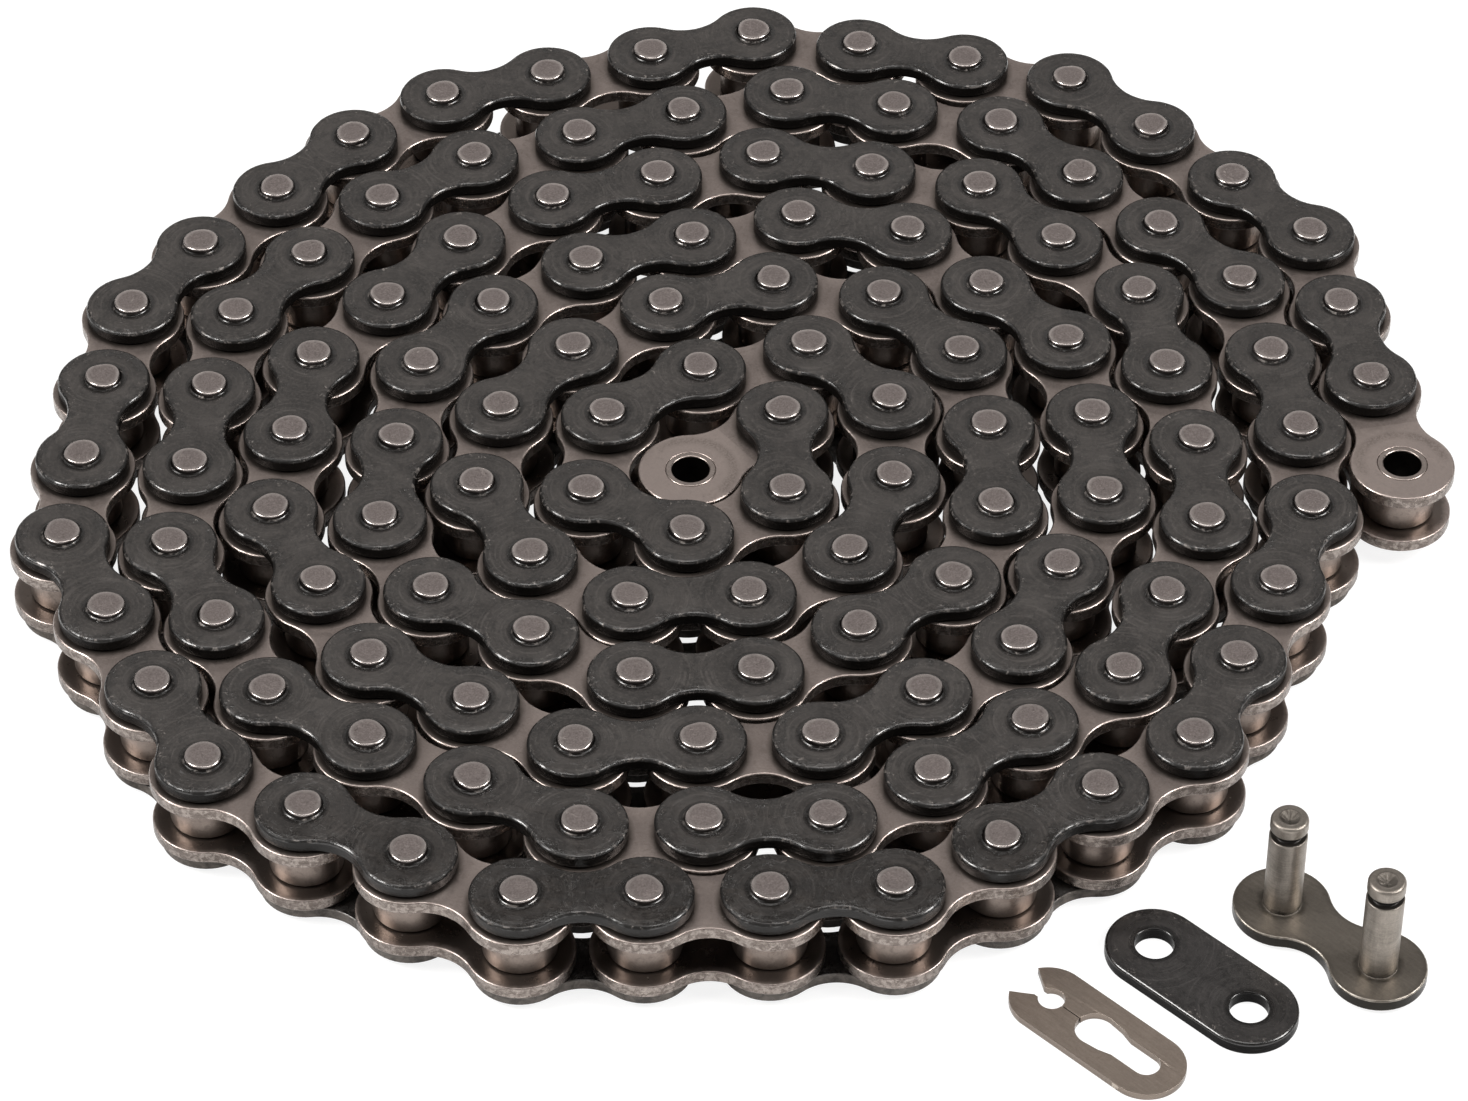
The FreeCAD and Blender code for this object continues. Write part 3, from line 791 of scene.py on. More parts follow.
def inner_plate_steel():
    """Inner plates: torn sides, walls painted darker as shade, rubbed bright rims, and oil wherever it has
    collected, deepened with painted shade on the lower plate and under the outer plates.
    """
    steel = Steel("inner_plate_steel", base=(0.40, 0.338, 0.312), dark=(0.070, 0.055, 0.045),
                  roughness=(0.36, 0.50), stain=0.35)
    # oily is the colour of oil and grime; it is also laid on as painted shade on the lower plate and under the
    # outer plates
    oily, low_z = (0.140, 0.116, 0.100), (4.2, 6.0)
    m, base, dark, side, spots = steel.m, steel.base, steel.dark, steel.side, steel.spots
    own = m.own
    x, _, z = m.xyz
    top = m.up.ramp(over=(0.6, 0.95))
    edge = to_rim(m, *INNER_SHAPE)
    # sheared sides: torn metal lying along the edge, with dirt in its hollows
    tear = m.noise(m.stretch(own, (0.6, 0.6, 3.6)), scale=1.25, detail=5, rough=0.66, distort=0.6)
    crumb = m.noise(own, scale=3, detail=4, rough=0.72, distort=0.6)
    wall = 1 - abs(m.up).ramp(over=(0.15, 0.6))
    # a broken line of rubbed bright metal just inside the rim
    lip = m.noise(own, scale=1.5, detail=4, rough=0.65, distort=0.6).ramp(over=(0.44, 0.58))
    lip = edge.ramp(over=(0.10, 0.55), to=(1, 0)) * lip
    # oil and painted shade: over the lower plate, and where the outer plates cover this one
    low = z.ramp(over=low_z, to=(1, 0))
    ragged = edge + (spots - 0.5) * 1.1
    # pool: oil and painted shade on the lower plate's face, darker away from its rim
    pool = low * top * ragged.ramp(over=(0.20, 0.95))
    cover = m.dist + (spots - 0.5) * 0.6
    bare = m.math("GREATER_THAN", x * m.attribute("open"), 0.0)
    flat = 1 - side
    under = cover.ramp(over=(5.15, 5.75), to=(1, 0)) * (1 - bare) * flat
    wet = m.math("MAXIMUM", pool, under * 0.95)
    # on a free end the ring where an outer plate once lay is left as brown grime
    ring = cover.ramp(over=(3.7, 4.6), smooth=True) * cover.ramp(over=(5.0, 5.5), to=(1, 0))
    patchy = m.noise(own, scale=0.55, detail=5, rough=0.75, distort=0.8)
    ring = ring * (m.beyond * 0.10 + patchy).ramp(over=(0.62, 0.44))
    ring = ring * bare * (flat * steel.fine.ramp(over=(0.40, 0.58)))
    specks = m.cells(own, scale=0.9).ramp(over=(0.05, 0.13), to=(1, 0))
    specks = specks * (wet * m.noise(own, scale=0.5, detail=2).ramp(over=(0.55, 0.62)))
    colour = m.paint(
        steel.colour,
        # the walls are painted darker than the face: painted shade
        (wall * 0.92, between(base, dark, 0.75)),
        (side * tear.ramp(over=(0.46, 0.66), to=(0, 0.60)), dark),
        (side * crumb.ramp(over=(0.60, 0.72), to=(0, 0.6)), (0.66, 0.58, 0.52)),
        (lip * 0.32, (0.66, 0.59, 0.54)),
        (ring * 0.85, oily),
        (bare * flat * 0.25, shade(base, 1.6)),
        # oil and painted shade on the lower plate and under the outer plates
        (wet * 0.88, oily),
        (specks * 0.8, (0.62, 0.55, 0.49)))
    rough = m.blend(side * 0.75, steel.rough, 0.22)
    rough = m.blend(wet * 0.75, rough, 0.24)
    return steel.finish(colour, rough, steel.height + side * (tear + crumb * 0.35) * 0.06)


def round_steel(name, **tones):
    """Bushes and rollers: streaked walls, a foot darkened by oil and painted shade, and a bore painted dark as
    shade.
    """
    steel = Steel(name, **tones)
    m, side = steel.m, steel.side
    streak = m.noise(m.stretch(m.own, (1.6, 1.6, 0.5)), detail=4, rough=0.6, distort=0.5)
    # oil and painted shade darken the foot, next to the plate below
    foot = (m.xyz[2] + (steel.spots - 0.5) * 1.8).ramp(over=(3.9, 5.6), to=(1, 0))
    # the bore is painted dark: painted shade
    bore = m.dist.ramp(over=(2.16, 2.06)) * side
    colour = m.paint(steel.colour, (foot * side * 0.18, steel.dark),
                     (bore, shade(steel.dark, 0.25)))
    rough = m.blend(side * 0.4, steel.rough, 0.30)
    return steel.finish(colour, rough, steel.height + side * streak * 0.016)


def pin_metal():
    """Riveted pin ends: ground faces with fine pits, a few bright scrapes, oily walls."""
    base, dark = (0.31, 0.268, 0.257), (0.085, 0.07, 0.066)
    m = LinkMaterial("pin_steel")
    own = m.own
    side = 1 - m.up.ramp(over=(0.55, 0.9))
    cloud = m.noise(own, scale=0.75, detail=4, rough=0.62, distort=0.6)
    fine = m.noise(own, scale=5, detail=4, rough=0.72)
    smudge = m.noise(own, scale=2.2, detail=4, rough=0.7)
    pits = m.cells(own, scale=2.3).ramp(over=(0.03, 0.20), to=(1, 0))
    pits = pits * m.noise(own, scale=0.9, detail=2, rough=0.5).ramp(over=(0.50, 0.62))
    scrape = m.noise(m.stretch(own, (0.8, 3.2, 1)), detail=4, rough=0.7, distort=0.9)
    scrape = (scrape.ramp(over=(0.60, 0.70))
              * m.noise(own, scale=0.5, detail=1, rough=0.5).ramp(over=(0.50, 0.60)))
    brow = m.attribute("rim") * m.up.ramp(over=(0.10, 0.35))
    colour = m.paint(
        base,
        (cloud.ramp(over=(0.35, 0.7)), between(base, dark, 0.22)),
        (fine.ramp(over=(0.44, 0.66)) * 0.55, shade(base, 1.9)),
        (smudge.ramp(over=(0.56, 0.70)) * 0.45, dark),
        (scrape * 0.75, (0.78, 0.70, 0.66)),
        (pits * 0.6, dark),
        (side * cloud.ramp(over=(0.4, 0.62), to=(0.25, 0.7)), dark),
        (brow * cloud.ramp(over=(0.30, 0.60), to=(0.9, 0.5)), (0.74, 0.68, 0.65)))
    rough = m.blend(cloud.ramp(over=(0.3, 0.7)), 0.34, 0.46)
    rough = m.blend(side * 0.9, rough, 0.2)
    rough = m.blend(m.math("MAXIMUM", scrape, brow) * 0.8, rough, 0.22)
    height = cloud * 0.022 + fine * 0.008 - pits * 0.03 + scrape * 0.008
    return m.finish(height, bump=0.8, Base_Color=colour, Roughness=rough, Metallic=0.95,
                    Coat_Weight=0.1, Coat_Roughness=0.12)


def turned_steel():
    """Drawn link pins under oil: faint rings round the axis, cloudy tarnish, a groove painted near black as shade,
    a cupped end painted darker as shade, most in its folds, and a foot painted dark with shade where the pin meets
    its plate."""
    base, dark = (0.31, 0.28, 0.247), (0.045, 0.038, 0.032)
    m = LinkMaterial("link_pin_steel")
    own, dist, angle, z = m.own, m.dist, m.angle, m.xyz[2]
    rings = m.noise(m.join(angle * 0.4, 0.0, z * 5.0), rough=0.6)
    drawn = m.noise(m.join(angle * 5.0, 0.0, z * 0.35), detail=4, rough=0.65)
    cloud = m.noise(own, scale=0.45, detail=4, rough=0.6, distort=0.6)
    fine = m.noise(own, scale=4.5, detail=4, rough=0.7)
    groove = z.ramp(over=(11.9, 12.06)) * z.ramp(over=(13.2, 13.0))
    groove = dist.ramp(over=(1.95, 1.80)) * groove
    cup = dist.ramp(over=(1.25, 0.95)) * z.ramp(over=(13.7, 13.9))
    folds = m.noise(m.join(angle * 2.2, dist * 0.5, m.number * 31.0), rough=0.65)
    foot = (z + (fine - 0.5) * 0.9).ramp(over=(2.35, 2.75), to=(1, 0))
    foot = foot * m.noise(own, scale=1.3, rough=0.6).ramp(over=(0.45, 0.60), to=(0.15, 0.85))
    colour = m.paint(
        base,
        (cloud.ramp(over=(0.3, 0.72)), between(base, dark, 0.4)),
        (rings.ramp(over=(0.45, 0.75)) * 0.25, dark),
        (drawn.ramp(over=(0.50, 0.75)) * 0.30, shade(base, 1.5)),
        (fine.ramp(over=(0.45, 0.72)) * 0.25, shade(base, 1.6)),
        # the groove, the cup with its folds and the foot are darkened as painted shade
        (groove, shade(dark, 0.3)),
        (cup, shade(base, 0.45)),
        (cup * folds.ramp(over=(0.45, 0.62), to=(0, 0.7)), dark),
        (foot, dark))
    rough = m.blend(cloud, 0.34, 0.50) + (rings - 0.5) * 0.12
    rough = m.blend(groove, rough, 0.35)
    rough = m.blend(cup, rough, 0.52)
    height = rings * 0.006 + fine * 0.006 + cup * folds * 0.12 + cloud * 0.03 + drawn * 0.004
    return m.finish(height, bump=0.8, Base_Color=colour, Roughness=rough,
                    Metallic=m.blend(groove, 0.92, 0.4))


def sheet_steel(name, base, dark, roughness, stain, wall_shade, wall_rough, shape=None):
    """Rolled sheet for the loose pieces: fine parallel grain, cloudy tarnish, a rubbed bright corner line and a
    sheared wall painted darker as shade. A plate's shape darkens its rim and paints shade round its pin feet."""
    m = LinkMaterial(name)
    own, up = m.own, m.up
    corner = up.ramp(over=(0.97, 0.85)) * up.ramp(over=(0.10, 0.40))
    wall = abs(up).ramp(over=(0.35, 0.10))
    lines = m.noise(m.stretch(own, (0.45, 3.4, 3.4)), detail=4, rough=0.65)
    cloud = m.noise(own, scale=0.20, detail=4, rough=0.6, distort=0.8)
    fine = m.noise(own, scale=4.6, detail=4, rough=0.68)
    marks = m.noise(own, detail=4, rough=0.6, distort=0.6)
    colour = m.paint(
        base,
        (cloud.ramp(over=(0.3, 0.7)), between(base, dark, 0.38)),
        (lines.ramp(over=(0.42, 0.72)) * 0.40, shade(base, 1.35)),
        (fine.ramp(over=(0.45, 0.72)) * 0.22, shade(base, 1.6)),
        (marks.ramp(over=(0.55, 0.76)) * stain, dark))
    if shape:
        rim = to_rim(m, *shape).ramp(over=(0, 0.9), to=(1, 0), smooth=True)
        # smeared metal and painted shade round the foot of each pin
        ring = (m.dist + (marks - 0.5) * 1.0).ramp(over=(2.2, 2.75), to=(1, 0))
        colour = m.paint(colour, (rim * 0.30, dark), (ring * 0.75, dark))
    glint = corner * m.noise(own, scale=0.9, detail=4, rough=0.65, distort=0.6).ramp(
        over=(0.40, 0.58), to=(0.15, 1))
    # the walls are painted darker by the wall tone: painted shade
    colour = m.paint(colour, (wall, shade(base, wall_shade)), (glint * 0.6, (0.62, 0.57, 0.51)))
    rough = m.blend(cloud.ramp(over=(0.3, 0.7)), *roughness) + (marks - 0.5) * 0.15
    height = lines * 0.006 + fine * 0.0048 + cloud * 0.06 + wall * marks * 0.05
    return m.finish(height, bump=0.8, Base_Color=colour,
                    Roughness=m.blend(wall, rough, wall_rough), Metallic=0.9)


OUTER_BLACK = black_plate(
    "outer_plate_black", base=(0.0195, 0.0172, 0.0158), shape=OUTER_SHAPE, oily=1.0,
    wall_shine=0.26, worn_share=1.0, bare_low=1.0, clean=0.0)
INNER_STEEL = inner_plate_steel()
BUSH_STEEL = round_steel("bush_steel", base=(0.42, 0.36, 0.33), dark=(0.06, 0.048, 0.04),
                         roughness=(0.26, 0.4), stain=0.3)
ROLLER_STEEL = round_steel("roller_steel", base=(0.27, 0.224, 0.198),
                           dark=(0.085, 0.066, 0.054), roughness=(0.32, 0.48), stain=0.65)
PIN_STEEL = pin_metal()
LINK_PIN_STEEL = turned_steel()
LINK_PLATE_STEEL = sheet_steel(
    "link_plate_steel", base=(0.208, 0.186, 0.160), dark=(0.055, 0.048, 0.040),
    roughness=(0.34, 0.46), stain=0.3, wall_shade=0.10, wall_rough=0.26, shape=LINK_SHAPE)
LINK_BLACK = black_plate(
    "link_plate_black", base=(0.0150, 0.0138, 0.0134), shape=(STADIUM_R, None), oily=0.08,
    wall_shine=0.07, worn_share=0.3, bare_low=0.0, clean=0.75)
CLIP_STEEL = sheet_steel(
    "clip_steel", base=(0.375, 0.312, 0.266), dark=(0.100, 0.078, 0.062),
    roughness=(0.34, 0.44), stain=0.25, wall_shade=0.6, wall_rough=0.2)


# ------------------------------------------------------------------ links
OUTER_LINE, INNER_LINE = waisted_outline(*OUTER_SHAPE), waisted_outline(*INNER_SHAPE)
OUTER_HOLE, INNER_HOLE = PIN_R + 0.005, BUSH_R + 0.003
OUTER_TOP = plate_form(OUTER_LINE, Z_OUT_TOP, top_round=0.42, bottom_round=0.16,
                       hole=OUTER_HOLE, collar=(2.56, 0.24))
OUTER_LOW = plate_form(OUTER_LINE, Z_OUT_LOW, top_round=0.16, bottom_round=0.34,
                       hole=OUTER_HOLE)
INNER_TOP = plate_form(INNER_LINE, Z_IN_TOP, top_round=0.24, bottom_round=0.20,
                       hole=INNER_HOLE, hole_edge=0.1)
INNER_LOW = plate_form(INNER_LINE, Z_IN_LOW, top_round=0.20, bottom_round=0.24,
                       hole=INNER_HOLE, hole_edge=0.1)
BUSH, ROLLER = bush_form(), roller_form()

MATERIAL = {
    "outer_plate_top": OUTER_BLACK, "outer_plate_bottom": OUTER_BLACK,
    "inner_plate_top": INNER_STEEL, "inner_plate_bottom": INNER_STEEL,
    "pins": PIN_STEEL, "bushes": BUSH_STEEL,
    "rollers": ROLLER_STEEL, "roller_a": ROLLER_STEEL, "roller_b": ROLLER_STEEL}
OUTER_PLATES = ("outer_plate_top", "outer_plate_bottom")
INNER_PLATES = ("inner_plate_top", "inner_plate_bottom")

ALL_PINS = np.vstack([round_stations(node, PIN_R) for node in sorted(NODES)
                      if node.endswith("_pins") and node != "connecting_pins"])


def free_end(middle, heading):
    """+1 or -1 for the end of a link that no pin of the chain goes through, else 0."""
    unit = np.array([math.cos(heading), math.sin(heading)])
    for sign in (1, -1):
        if np.hypot(*(ALL_PINS - (middle + sign * HALF * unit)).T).min() > 1.0:
            return sign
    return 0


def add_outer(heaps, middle, heading):
    rng = generator_at(middle)
    number = rng.uniform(0, 1)
    most = 0.0022                          # steepest lean of an upper plate
    lean = (rng.uniform(-most, most), rng.uniform(-most, most))
    heaps["outer_plate_top"].add(OUTER_TOP, middle, heading, number, lean=lean)
    heaps["outer_plate_bottom"].add(OUTER_LOW, middle, heading, (number + 0.37) % 1)
    for sign in (1, -1):
        pin = pin_form(np.random.default_rng(rng.integers(1 << 30)))
        heaps["pins"].add(shifted(pin, sign * HALF), middle, heading, rng.uniform(0, 1))


def add_inner(heaps, middle, heading, rollers):
    """rollers holds (part name, end of the link) pairs."""
    rng = generator_at(middle, 1)
    number = rng.uniform(0, 1)
    free = free_end(middle, heading)
    heaps["inner_plate_top"].add(INNER_TOP, middle, heading, number, free=free)
    heaps["inner_plate_bottom"].add(INNER_LOW, middle, heading, (number + 0.41) % 1, free=free)
    for sign in (1, -1):
        heaps["bushes"].add(shifted(BUSH, sign * HALF), middle, heading, rng.uniform(0, 1))
    for part, sign in rollers:
        roller = shifted(turned(ROLLER, rng.uniform(0, 6.28)), sign * HALF)
        heaps[part].add(roller, middle, heading, rng.uniform(0, 1))


def build_all(heaps):
    for part, heap in heaps.items():
        heap.build(MATERIAL[part])


def build_coil():
    parts = OUTER_PLATES + INNER_PLATES + ("pins", "bushes", "rollers")
    heaps = {part: Heap("coil_" + part.replace("plate", "plates")) for part in parts}
    pins = round_stations("coil_pins", PIN_R)
    bushes = round_stations("coil_bushes", BUSH_R)
    outer = paired(pins, "coil_outer_plates_top", OUTER_WAIST)
    inner = paired(bushes, "coil_inner_plates_top", INNER_WAIST)
    if len(outer) * 2 != len(pins) or len(inner) * 2 != len(bushes):
        raise RuntimeError("links found: %d outer of %d pins, %d inner of %d bushes" % (
            len(outer), len(pins), len(inner), len(bushes)))
    for middle, heading in outer:
        add_outer(heaps, middle, heading)
    for middle, heading in inner:
        add_inner(heaps, middle, heading, (("rollers", 1), ("rollers", -1)))
    build_all(heaps)


def build_tail_link(link):
    """One link of the articulated end, with an object for each part."""
    if link + "_pins" in NODES:
        parts = OUTER_PLATES + ("pins",)
        heaps = {part: Heap(f"{link}_{part}") for part in parts}
        add_outer(heaps, *placed(*round_stations(link + "_pins", PIN_R)))
    else:
        parts = INNER_PLATES + ("bushes", "roller_a", "roller_b")
        heaps = {part: Heap(f"{link}_{part}") for part in parts}
        start, end = round_stations(link + "_bushes", BUSH_R)
        roller_a = round_stations(link + "_roller_a", ROLLER_R)[0]
        if np.hypot(*(start - roller_a)) > 1.0:
            start, end = end, start
        add_inner(heaps, *placed(start, end), (("roller_a", -1), ("roller_b", 1)))
    build_all(heaps)


build_coil()
for tail_link in sorted({node.split("_")[0] for node in NODES if node.startswith("tail")}):
    build_tail_link(tail_link)


# ------------------------------------------------------------------ connecting link
def between_mounts(start, end):
    """(middle, heading) of a piece between two mounts."""
    return placed(*(np.array(MOUNT[name]["pos_m"][:2]) * 1000 for name in (start, end)))


def link_pin_form(rng, steps=72):
    """A pin with a riveted foot, a groove for the clip and a cupped upper end."""
    low, high = GROOVE_Z
    top = LINK_PIN_TOP
    foot, shoulder, hollow, lip_edge, crown = 0.2, 0.14, 0.16, 0.2, 0.42   # corner radii
    rows = corner_rows(RIVET_R - foot, foot, foot, -90, 0, 4)
    rows += [(RIVET_R, 0.5, 1, 0, 0), (RIVET_R, LINK_SHOULDER_Z - 0.01, 1, 0, 0),
             (RIVET_R + 0.01, LINK_SHOULDER_Z, 0, -1, 0),
             (PIN_R - 0.01, LINK_SHOULDER_Z, 0, -1, 0)]
    rows += [(PIN_R, z, 1, 0, 0) for z in (LINK_SHOULDER_Z + 0.01, 2.6, 5.0, 8.5)]
    rows += corner_rows(PIN_R - shoulder, low - shoulder, shoulder, 0, 90, 4)
    rows += [(1.62, low, 0, 1, 0.2)]
    rows += corner_rows(GROOVE_R + hollow, low + hollow, hollow, 270, 180, 4, 0.0, concave=True)
    rows += corner_rows(GROOVE_R + hollow, high - hollow, hollow, 180, 90, 4, 0.0, concave=True)
    rows += [(1.62, high, 0, -1, 0.2)]
    rows += corner_rows(PIN_R - lip_edge, high + lip_edge, lip_edge, -90, 0, 5)
    rows += [(PIN_R, 13.6, 1, 0, 0)]
    rows += corner_rows(PIN_R - crown, top - crown, crown, 0, 90, 7)
    # cupped face, pressed in with a soft lip and a small flat at the bottom
    cup_r = 1.12
    rows += corner_rows(cup_r, top - 0.16, 0.16, 90, 118, 3, rim=0.6)
    for share in (0.25, 0.5, 0.75, 1.0):
        r = (cup_r - 0.075) * (1 - share) + 0.18 * share
        z = (top - 0.02) - 0.50 * (1 - (1 - share) ** 1.6)
        rows.append((r, z, -0.42 * (1 - share * 0.5), 1.0, 0.0))
    profile = np.array(rows, float)
    profile[:, 2:4] /= np.hypot(profile[:, 2], profile[:, 3])[:, None]
    form = lathe(profile, steps)
    points, normals = form.points, form.normals
    # the cup is pressed by a blunt chisel-like point: soft folds run across it
    angle = np.arctan2(points[:, 1], points[:, 0])
    r = np.hypot(points[:, 0], points[:, 1])
    cup = np.clip((top - 0.01 - points[:, 2]) / 0.3, 0, 1) * (r < 1.1) * (points[:, 2] > 13.6)
    way = rng.uniform(0, math.pi)
    points[:, 2] += cup * 0.06 * np.cos(2 * (angle - way)) * np.clip(r / 0.8, 0, 1)
    slope = cup * -0.25 * np.sin(2 * (angle - way))
    normals[:, 0] += slope * np.sin(angle)
    normals[:, 1] -= slope * np.cos(angle)
    # the head is slightly three-sided
    head = np.clip((points[:, 2] - 13.05) / 0.3, 0, 1)
    waves = 1 + np.cos(3 * angle + rng.uniform(0, 6.28))
    points[:, :2] *= (1 - head * 0.008 * waves)[:, None]
    return form


def build_connecting_link():
    middle, heading = between_mounts("connecting_pin_b", "connecting_pin_a")
    heap = Heap("connecting_pin_plate")
    plate = plate_form(waisted_outline(*LINK_SHAPE), LINK_PLATE_Z, top_round=0.24,
                       bottom_round=0.22, hole=RIVET_R + 0.004, hole_steps=56,
                       collar=(2.3, 0.22))
    heap.add(plate, middle, heading, number=0.31)
    heap.build(LINK_PLATE_STEEL)

    heap = Heap("connecting_pins")
    for k, sign in enumerate((1, -1)):
        pin = link_pin_form(np.random.default_rng(411 + k))
        heap.add(shifted(pin, sign * HALF), middle, heading, number=0.2 + 0.5 * k)
    heap.build(LINK_PIN_STEEL)

    middle, heading = between_mounts("connecting_plate_hole_b", "connecting_plate_hole_a")
    heap = Heap("connecting_outer_plate")
    plate = plate_form(stadium_outline(STADIUM_R), 0.0, top_round=0.36, bottom_round=0.2,
                       hole=2.03, hole_steps=64, hole_edge=0.17, round_steps=6)
    heap.add(plate, middle, heading, number=0.64)
    heap.build(LINK_BLACK)


build_connecting_link()


# ------------------------------------------------------------------ spring clip
def arc(x, y, radius, start, stop, count):
    return [(x + radius * math.cos(angle), y + radius * math.sin(angle))
            for angle in np.linspace(start, stop, count)]


def clip_outline():
    """The clip's outline as one counter-clockwise loop, with its prongs towards -X."""
    notch_r = 1.4              # round the pin between the prongs, at x = -HALF
    slot_half = 1.5            # half width of the slot that ends round the other pin
    eye_r, eye_x = 2.15, -0.35
    slit_half = 0.06           # half width of the gap between notch and eye
    slot_x = 3.06              # where the slot's straight sides begin
    mouth_half = 0.75          # half width of the way into the notch
    shoulder = (-6.95, CLIP_HALF_WIDTH)
    shoulder_mid = (-8.78, 3.56)
    tip = (-10.15, 2.2)

    # inside of the upper prong, from its tip to the bend
    upper = [tip, (-9.1, 1.5), (-8.0, mouth_half)]
    mouth_x = -HALF - math.sqrt(notch_r ** 2 - mouth_half ** 2)
    upper += arc(-HALF, 0, notch_r, math.atan2(mouth_half, mouth_x + HALF),
                 math.atan2(slit_half, math.sqrt(notch_r ** 2 - slit_half ** 2)), 13)
    eye_start = math.atan2(slit_half, -math.sqrt(eye_r ** 2 - slit_half ** 2))
    upper += arc(eye_x, 0, eye_r, eye_start, math.radians(78.5), 15)
    upper += [(1.6, 1.93), (slot_x, slot_half), (4.6, slot_half)]
    upper += arc(HALF, 0, slot_half, math.pi / 2, 0, 10)
    inside = upper + [(x, -y) for x, y in reversed(upper[:-1])]

    bend = arc(HALF, 0, CLIP_HALF_WIDTH, -math.pi / 2, math.pi / 2, 33)
    # the shoulder is an arc through three points
    a, b, c = shoulder, shoulder_mid, tip
    sums = [p[0] ** 2 + p[1] ** 2 for p in (a, b, c)]
    terms = np.array([[2 * (b[0] - a[0]), 2 * (b[1] - a[1])],
                      [2 * (c[0] - a[0]), 2 * (c[1] - a[1])]])
    x_mid, y_mid = np.linalg.solve(terms, np.array([
        b[0] ** 2 + b[1] ** 2 - a[0] ** 2 - a[1] ** 2,
        c[0] ** 2 + c[1] ** 2 - a[0] ** 2 - a[1] ** 2]))
    radius = math.hypot(a[0] - x_mid, a[1] - y_mid)
    start, stop = (math.atan2(p[1] - y_mid, p[0] - x_mid) for p in (a, c))
    top = [(x, CLIP_HALF_WIDTH) for x in np.linspace(HALF, shoulder[0], 14)[1:-1]]
    top += arc(x_mid, y_mid, radius, start, stop, 9)[:-1]
    return bend + top + inside + [(x, -y) for x, y in reversed(top)]


def clip_mesh():
    """The clip in its own axes, in mm, with softened edges."""
    loop = clip_outline()
    bm = bmesh.new()
    low = [bm.verts.new((x, y, 0.0)) for x, y in loop]
    top = [bm.verts.new((x, y, CLIP_THICK)) for x, y in loop]
    for i, j, k in flat_triangles([loop], 1e-10):
        bm.faces.new((top[i], top[j], top[k]))
        bm.faces.new((low[k], low[j], low[i]))
    for i in range(len(loop)):
        j = (i + 1) % len(loop)
        bm.faces.new((low[i], low[j], top[j], top[i]))
    bm.normal_update()
    edges = [edge for edge in bm.edges if len(edge.link_faces) == 2 and
             abs(edge.link_faces[0].normal.z - edge.link_faces[1].normal.z) > 0.9]
    bmesh.ops.bevel(bm, geom=edges, offset=0.10, segments=3, profile=0.5, affect="EDGES",
                    clamp_overlap=True)
    bm.normal_update()
    mesh = bpy.data.meshes.new("spring_clip_look")
    bm.to_mesh(mesh)
    bm.free()
    return mesh


def build_clip():
    # the clip slides along its joint's axis, and its bend is at the far end of that axis
    axes = [joint["axis"] for joint in frame["joints"] if joint["child"] == "spring_clip"]
    along = np.array(axes[0][:2], float)
    across = np.array([-along[1], along[0]])
    plan = cad_plan("spring_clip")
    sides = plan @ across
    middle = (along * ((plan @ along).max() - HALF - CLIP_HALF_WIDTH)
              + across * (sides.min() + sides.max()) / 2)
    heading = math.atan2(along[1], along[0])

    mesh = clip_mesh()
    local = np.zeros(len(mesh.vertices) * 3)
    mesh.vertices.foreach_get("co", local)
    local = local.reshape(-1, 3)
    points = local @ turn_matrix(heading).T + np.array([middle[0], middle[1], 0.0])
    mesh.vertices.foreach_set("co", (points * MM).ravel())
    set_smooth(mesh)
    add_attribute(mesh, "loc", local)
    add_attribute(mesh, "rnd", np.full(len(local), 0.83))
    add_attribute(mesh, "rim", (local[:, 2] > 0.02) & (local[:, 2] < CLIP_THICK - 0.001))
    mesh.update()
    clip = new_object("spring_clip_look", mesh, CLIP_STEEL)
    weighted = clip.modifiers.new("weighted", "WEIGHTED_NORMAL")
    weighted.keep_sharp = False
    weighted.weight = 80
    stand_in(clip, "spring_clip")


build_clip()

# ------------------------------------------------------------------ stage
scene = bpy.context.scene
scene.view_settings.view_transform = "Standard"
scene.view_settings.look = "None"
scene.view_settings.exposure = 0.0
scene.view_settings.gamma = 1.0


def floor_material():
    """A sheet lit from behind: nearly white to the eye, with only faint contact shade.
    What it throws on the steel is cut off where the turns lie close together."""
    material = bpy.data.materials.new("stage_floor")
    material.use_nodes = True
    nodes = Nodes(material.node_tree)
    sheet = nodes.tree.nodes["Principled BSDF"]
    camera_ray = nodes.add("LightPath", {}, "Is Camera Ray")
    thrown = nodes.attribute("clear").ramp(to=(0.09, 0.46))
    for name, value in {
            "Roughness": 0.7,
            "Specular IOR Level": 0.1,
            "Emission Color": (1, 1, 1, 1),
            "Emission Strength": camera_ray.ramp(to=(thrown, 0.86)),
            "Base Color": camera_ray.ramp(to=(0.55, 0.24))}.items():
        nodes.put(sheet.inputs[name], value)
    # from underneath the sheet is clear, so that the chain's lower side can be seen
    from_below = nodes.geometry("Backfacing") * camera_ray
    gone = nodes.add("BsdfTransparent", {})
    surface = nodes.add("MixShader", {0: from_below, 1: Value(nodes, sheet.outputs[0]), 2: gone})
    nodes.put(nodes.tree.nodes["Material Output"].inputs["Surface"], surface)
    return material


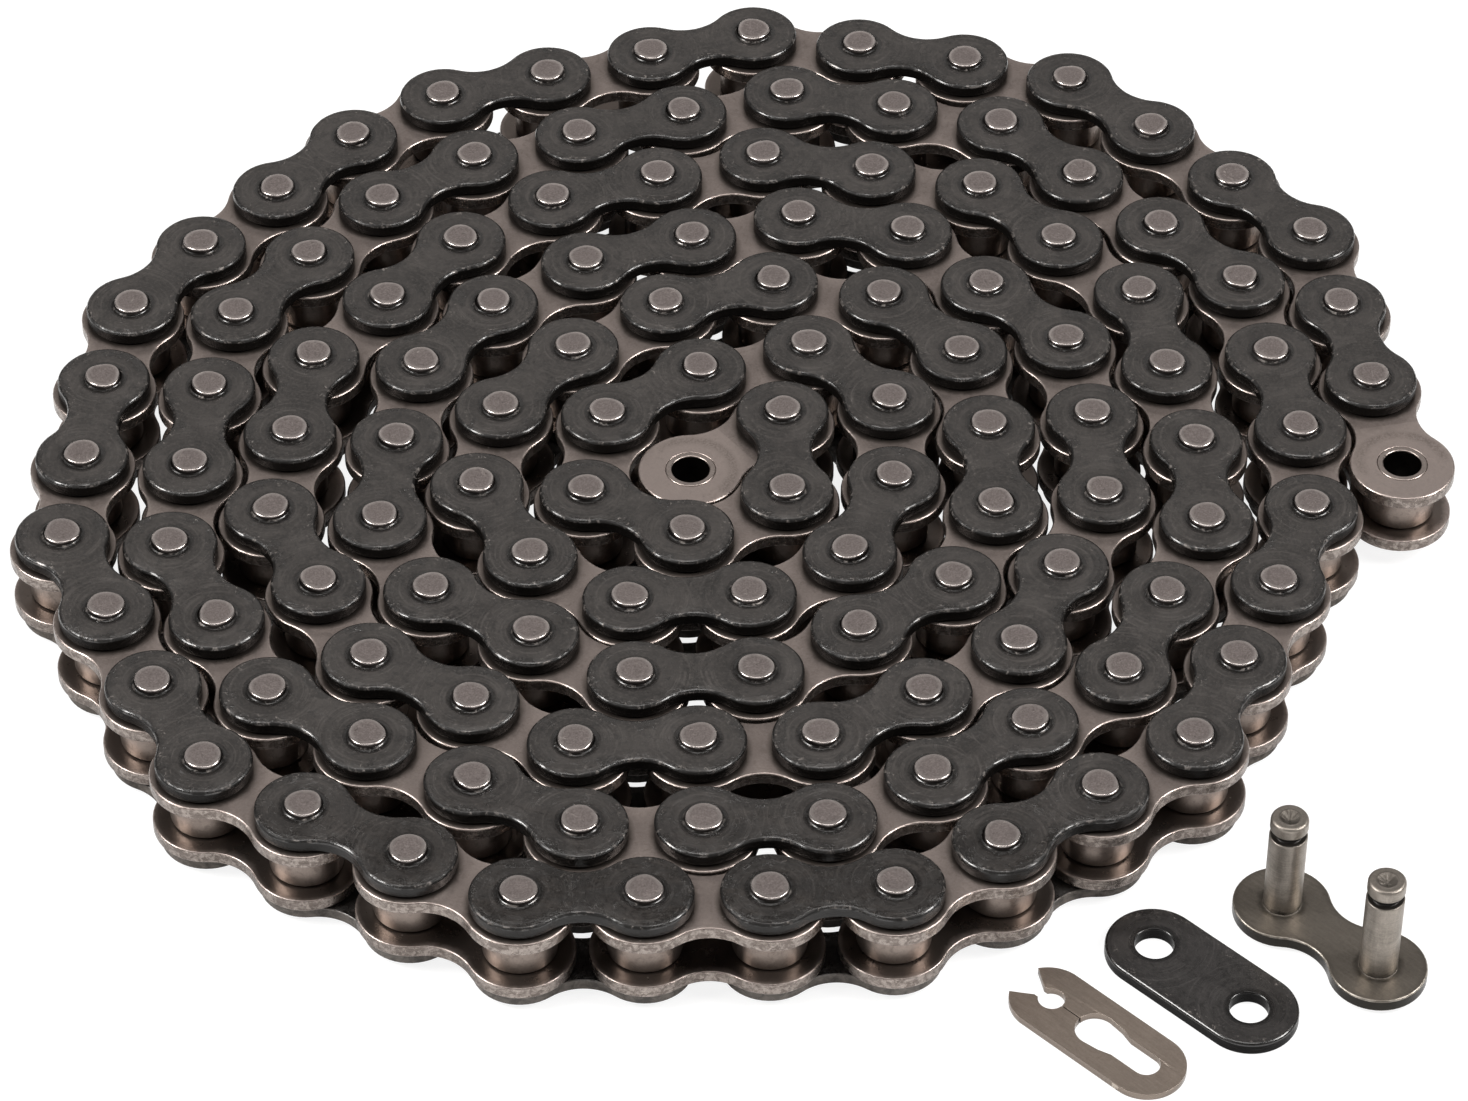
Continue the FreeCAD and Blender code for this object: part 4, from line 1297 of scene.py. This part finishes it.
def build_floor():
    """A grid in metres, fine under the chain, that knows how clear of the chain it is."""
    far = [2.2, 1.2, 0.6, 0.3, 0.18]
    line = [-reach for reach in far] + list(np.linspace(-0.13, 0.13, 105)) + far[::-1]
    count = len(line)
    x, y = (grid.ravel() for grid in np.meshgrid(line, line))
    level = -0.00002
    mesh = bpy.data.meshes.new("stage_floor")
    mesh.from_pydata(
        np.stack([x, y, np.full(count * count, level)], 1).tolist(), [],
        [(j * count + i, j * count + i + 1, (j + 1) * count + i + 1, (j + 1) * count + i)
         for j in range(count - 1) for i in range(count - 1)])
    spread = 9.0                           # mm, how far round itself a pin is felt
    crowd = np.zeros(count * count)
    for pin in ALL_PINS:
        square = (x * 1000 - pin[0]) ** 2 + (y * 1000 - pin[1]) ** 2
        crowd += np.exp(-square / (2 * spread ** 2))
    share = np.clip((crowd - 0.9) / 1.3, 0, 1)
    add_attribute(mesh, "clear", 1 - share * share * (3 - 2 * share))
    new_object("stage_floor", mesh, floor_material())


def build_world():
    """White to the camera; to the rest a dim sky, brighter low down in front (-Y)."""
    world = bpy.data.worlds.new("studio")
    scene.world = world
    world.use_nodes = True
    nodes = Nodes(world.node_tree)
    nodes.tree.nodes.clear()
    _, y, z = nodes.split(nodes.add("TexCoord", {}, "Generated"))
    front = y.ramp(over=(-0.85, -0.25), to=(1, 0))
    low = z.ramp(over=(0.15, 0.50), to=(1, 0))
    sky = (front * low).ramp(to=(0.10, 0.85))
    lit = nodes.add("Background", {"Color": (1.0, 0.97, 0.95), "Strength": sky})
    seen = nodes.add("Background", {"Color": (1, 1, 1), "Strength": 1.0})
    camera_ray = nodes.add("LightPath", {}, "Is Camera Ray")
    both = nodes.add("MixShader", {0: camera_ray, 1: lit, 2: seen})
    nodes.new("OutputWorld", {0: both})


def soft_box(name, place, size, power, colour):
    """A rectangular light aimed at the origin; place and size in metres."""
    light = bpy.data.lights.new(name, "AREA")
    light.shape = "RECTANGLE"
    light.size, light.size_y = size
    light.energy = power
    light.color = colour
    box = bpy.data.objects.new(name, light)
    scene.collection.objects.link(box)
    box.location = place
    box.rotation_mode = "QUATERNION"
    box.rotation_quaternion = (Vector((0, 0, 0)) - Vector(place)).to_track_quat("-Z", "Y")


def build_camera():
    """From in front and above, with a long lens and the faintest roll."""
    elevation, roll, distance = math.radians(43.09), math.radians(0.23), 0.6285
    aim = Vector((-0.000431, -0.014647, 0.01258))
    forward = Vector((0, math.cos(elevation), -math.sin(elevation)))
    level_up = Vector((0, math.sin(elevation), math.cos(elevation)))
    level_right = Vector((1, 0, 0))
    right = level_right * math.cos(roll) + level_up * math.sin(roll)
    up = level_up * math.cos(roll) - level_right * math.sin(roll)
    lens = bpy.data.cameras.new("view")
    lens.sensor_fit = "HORIZONTAL"
    lens.sensor_width = 36.0
    lens.lens = 144.17
    lens.clip_start, lens.clip_end = 0.05, 20.0
    camera = bpy.data.objects.new("view", lens)
    scene.collection.objects.link(camera)
    rows = [(right[i], up[i], -forward[i], aim[i] - forward[i] * distance) for i in range(3)]
    camera.matrix_world = Matrix((*rows, (0, 0, 0, 1)))
    scene.camera = camera


build_floor()
build_world()
soft_box("overhead", place=(0.0, -0.05, 0.75), size=(0.42, 0.30), power=1.5,
         colour=(1.0, 0.97, 0.95))
soft_box("left_box", place=(-0.60, -0.14, 0.60), size=(0.34, 0.34), power=7.0,
         colour=(1.0, 0.98, 0.96))
soft_box("right_box", place=(0.60, -0.10, 0.60), size=(0.34, 0.34), power=6.2,
         colour=(1.0, 0.98, 0.96))
soft_box("back_box", place=(0.0, 0.92, 0.62), size=(1.2, 0.55), power=0.85,
         colour=(1.0, 0.965, 0.94))
build_camera()
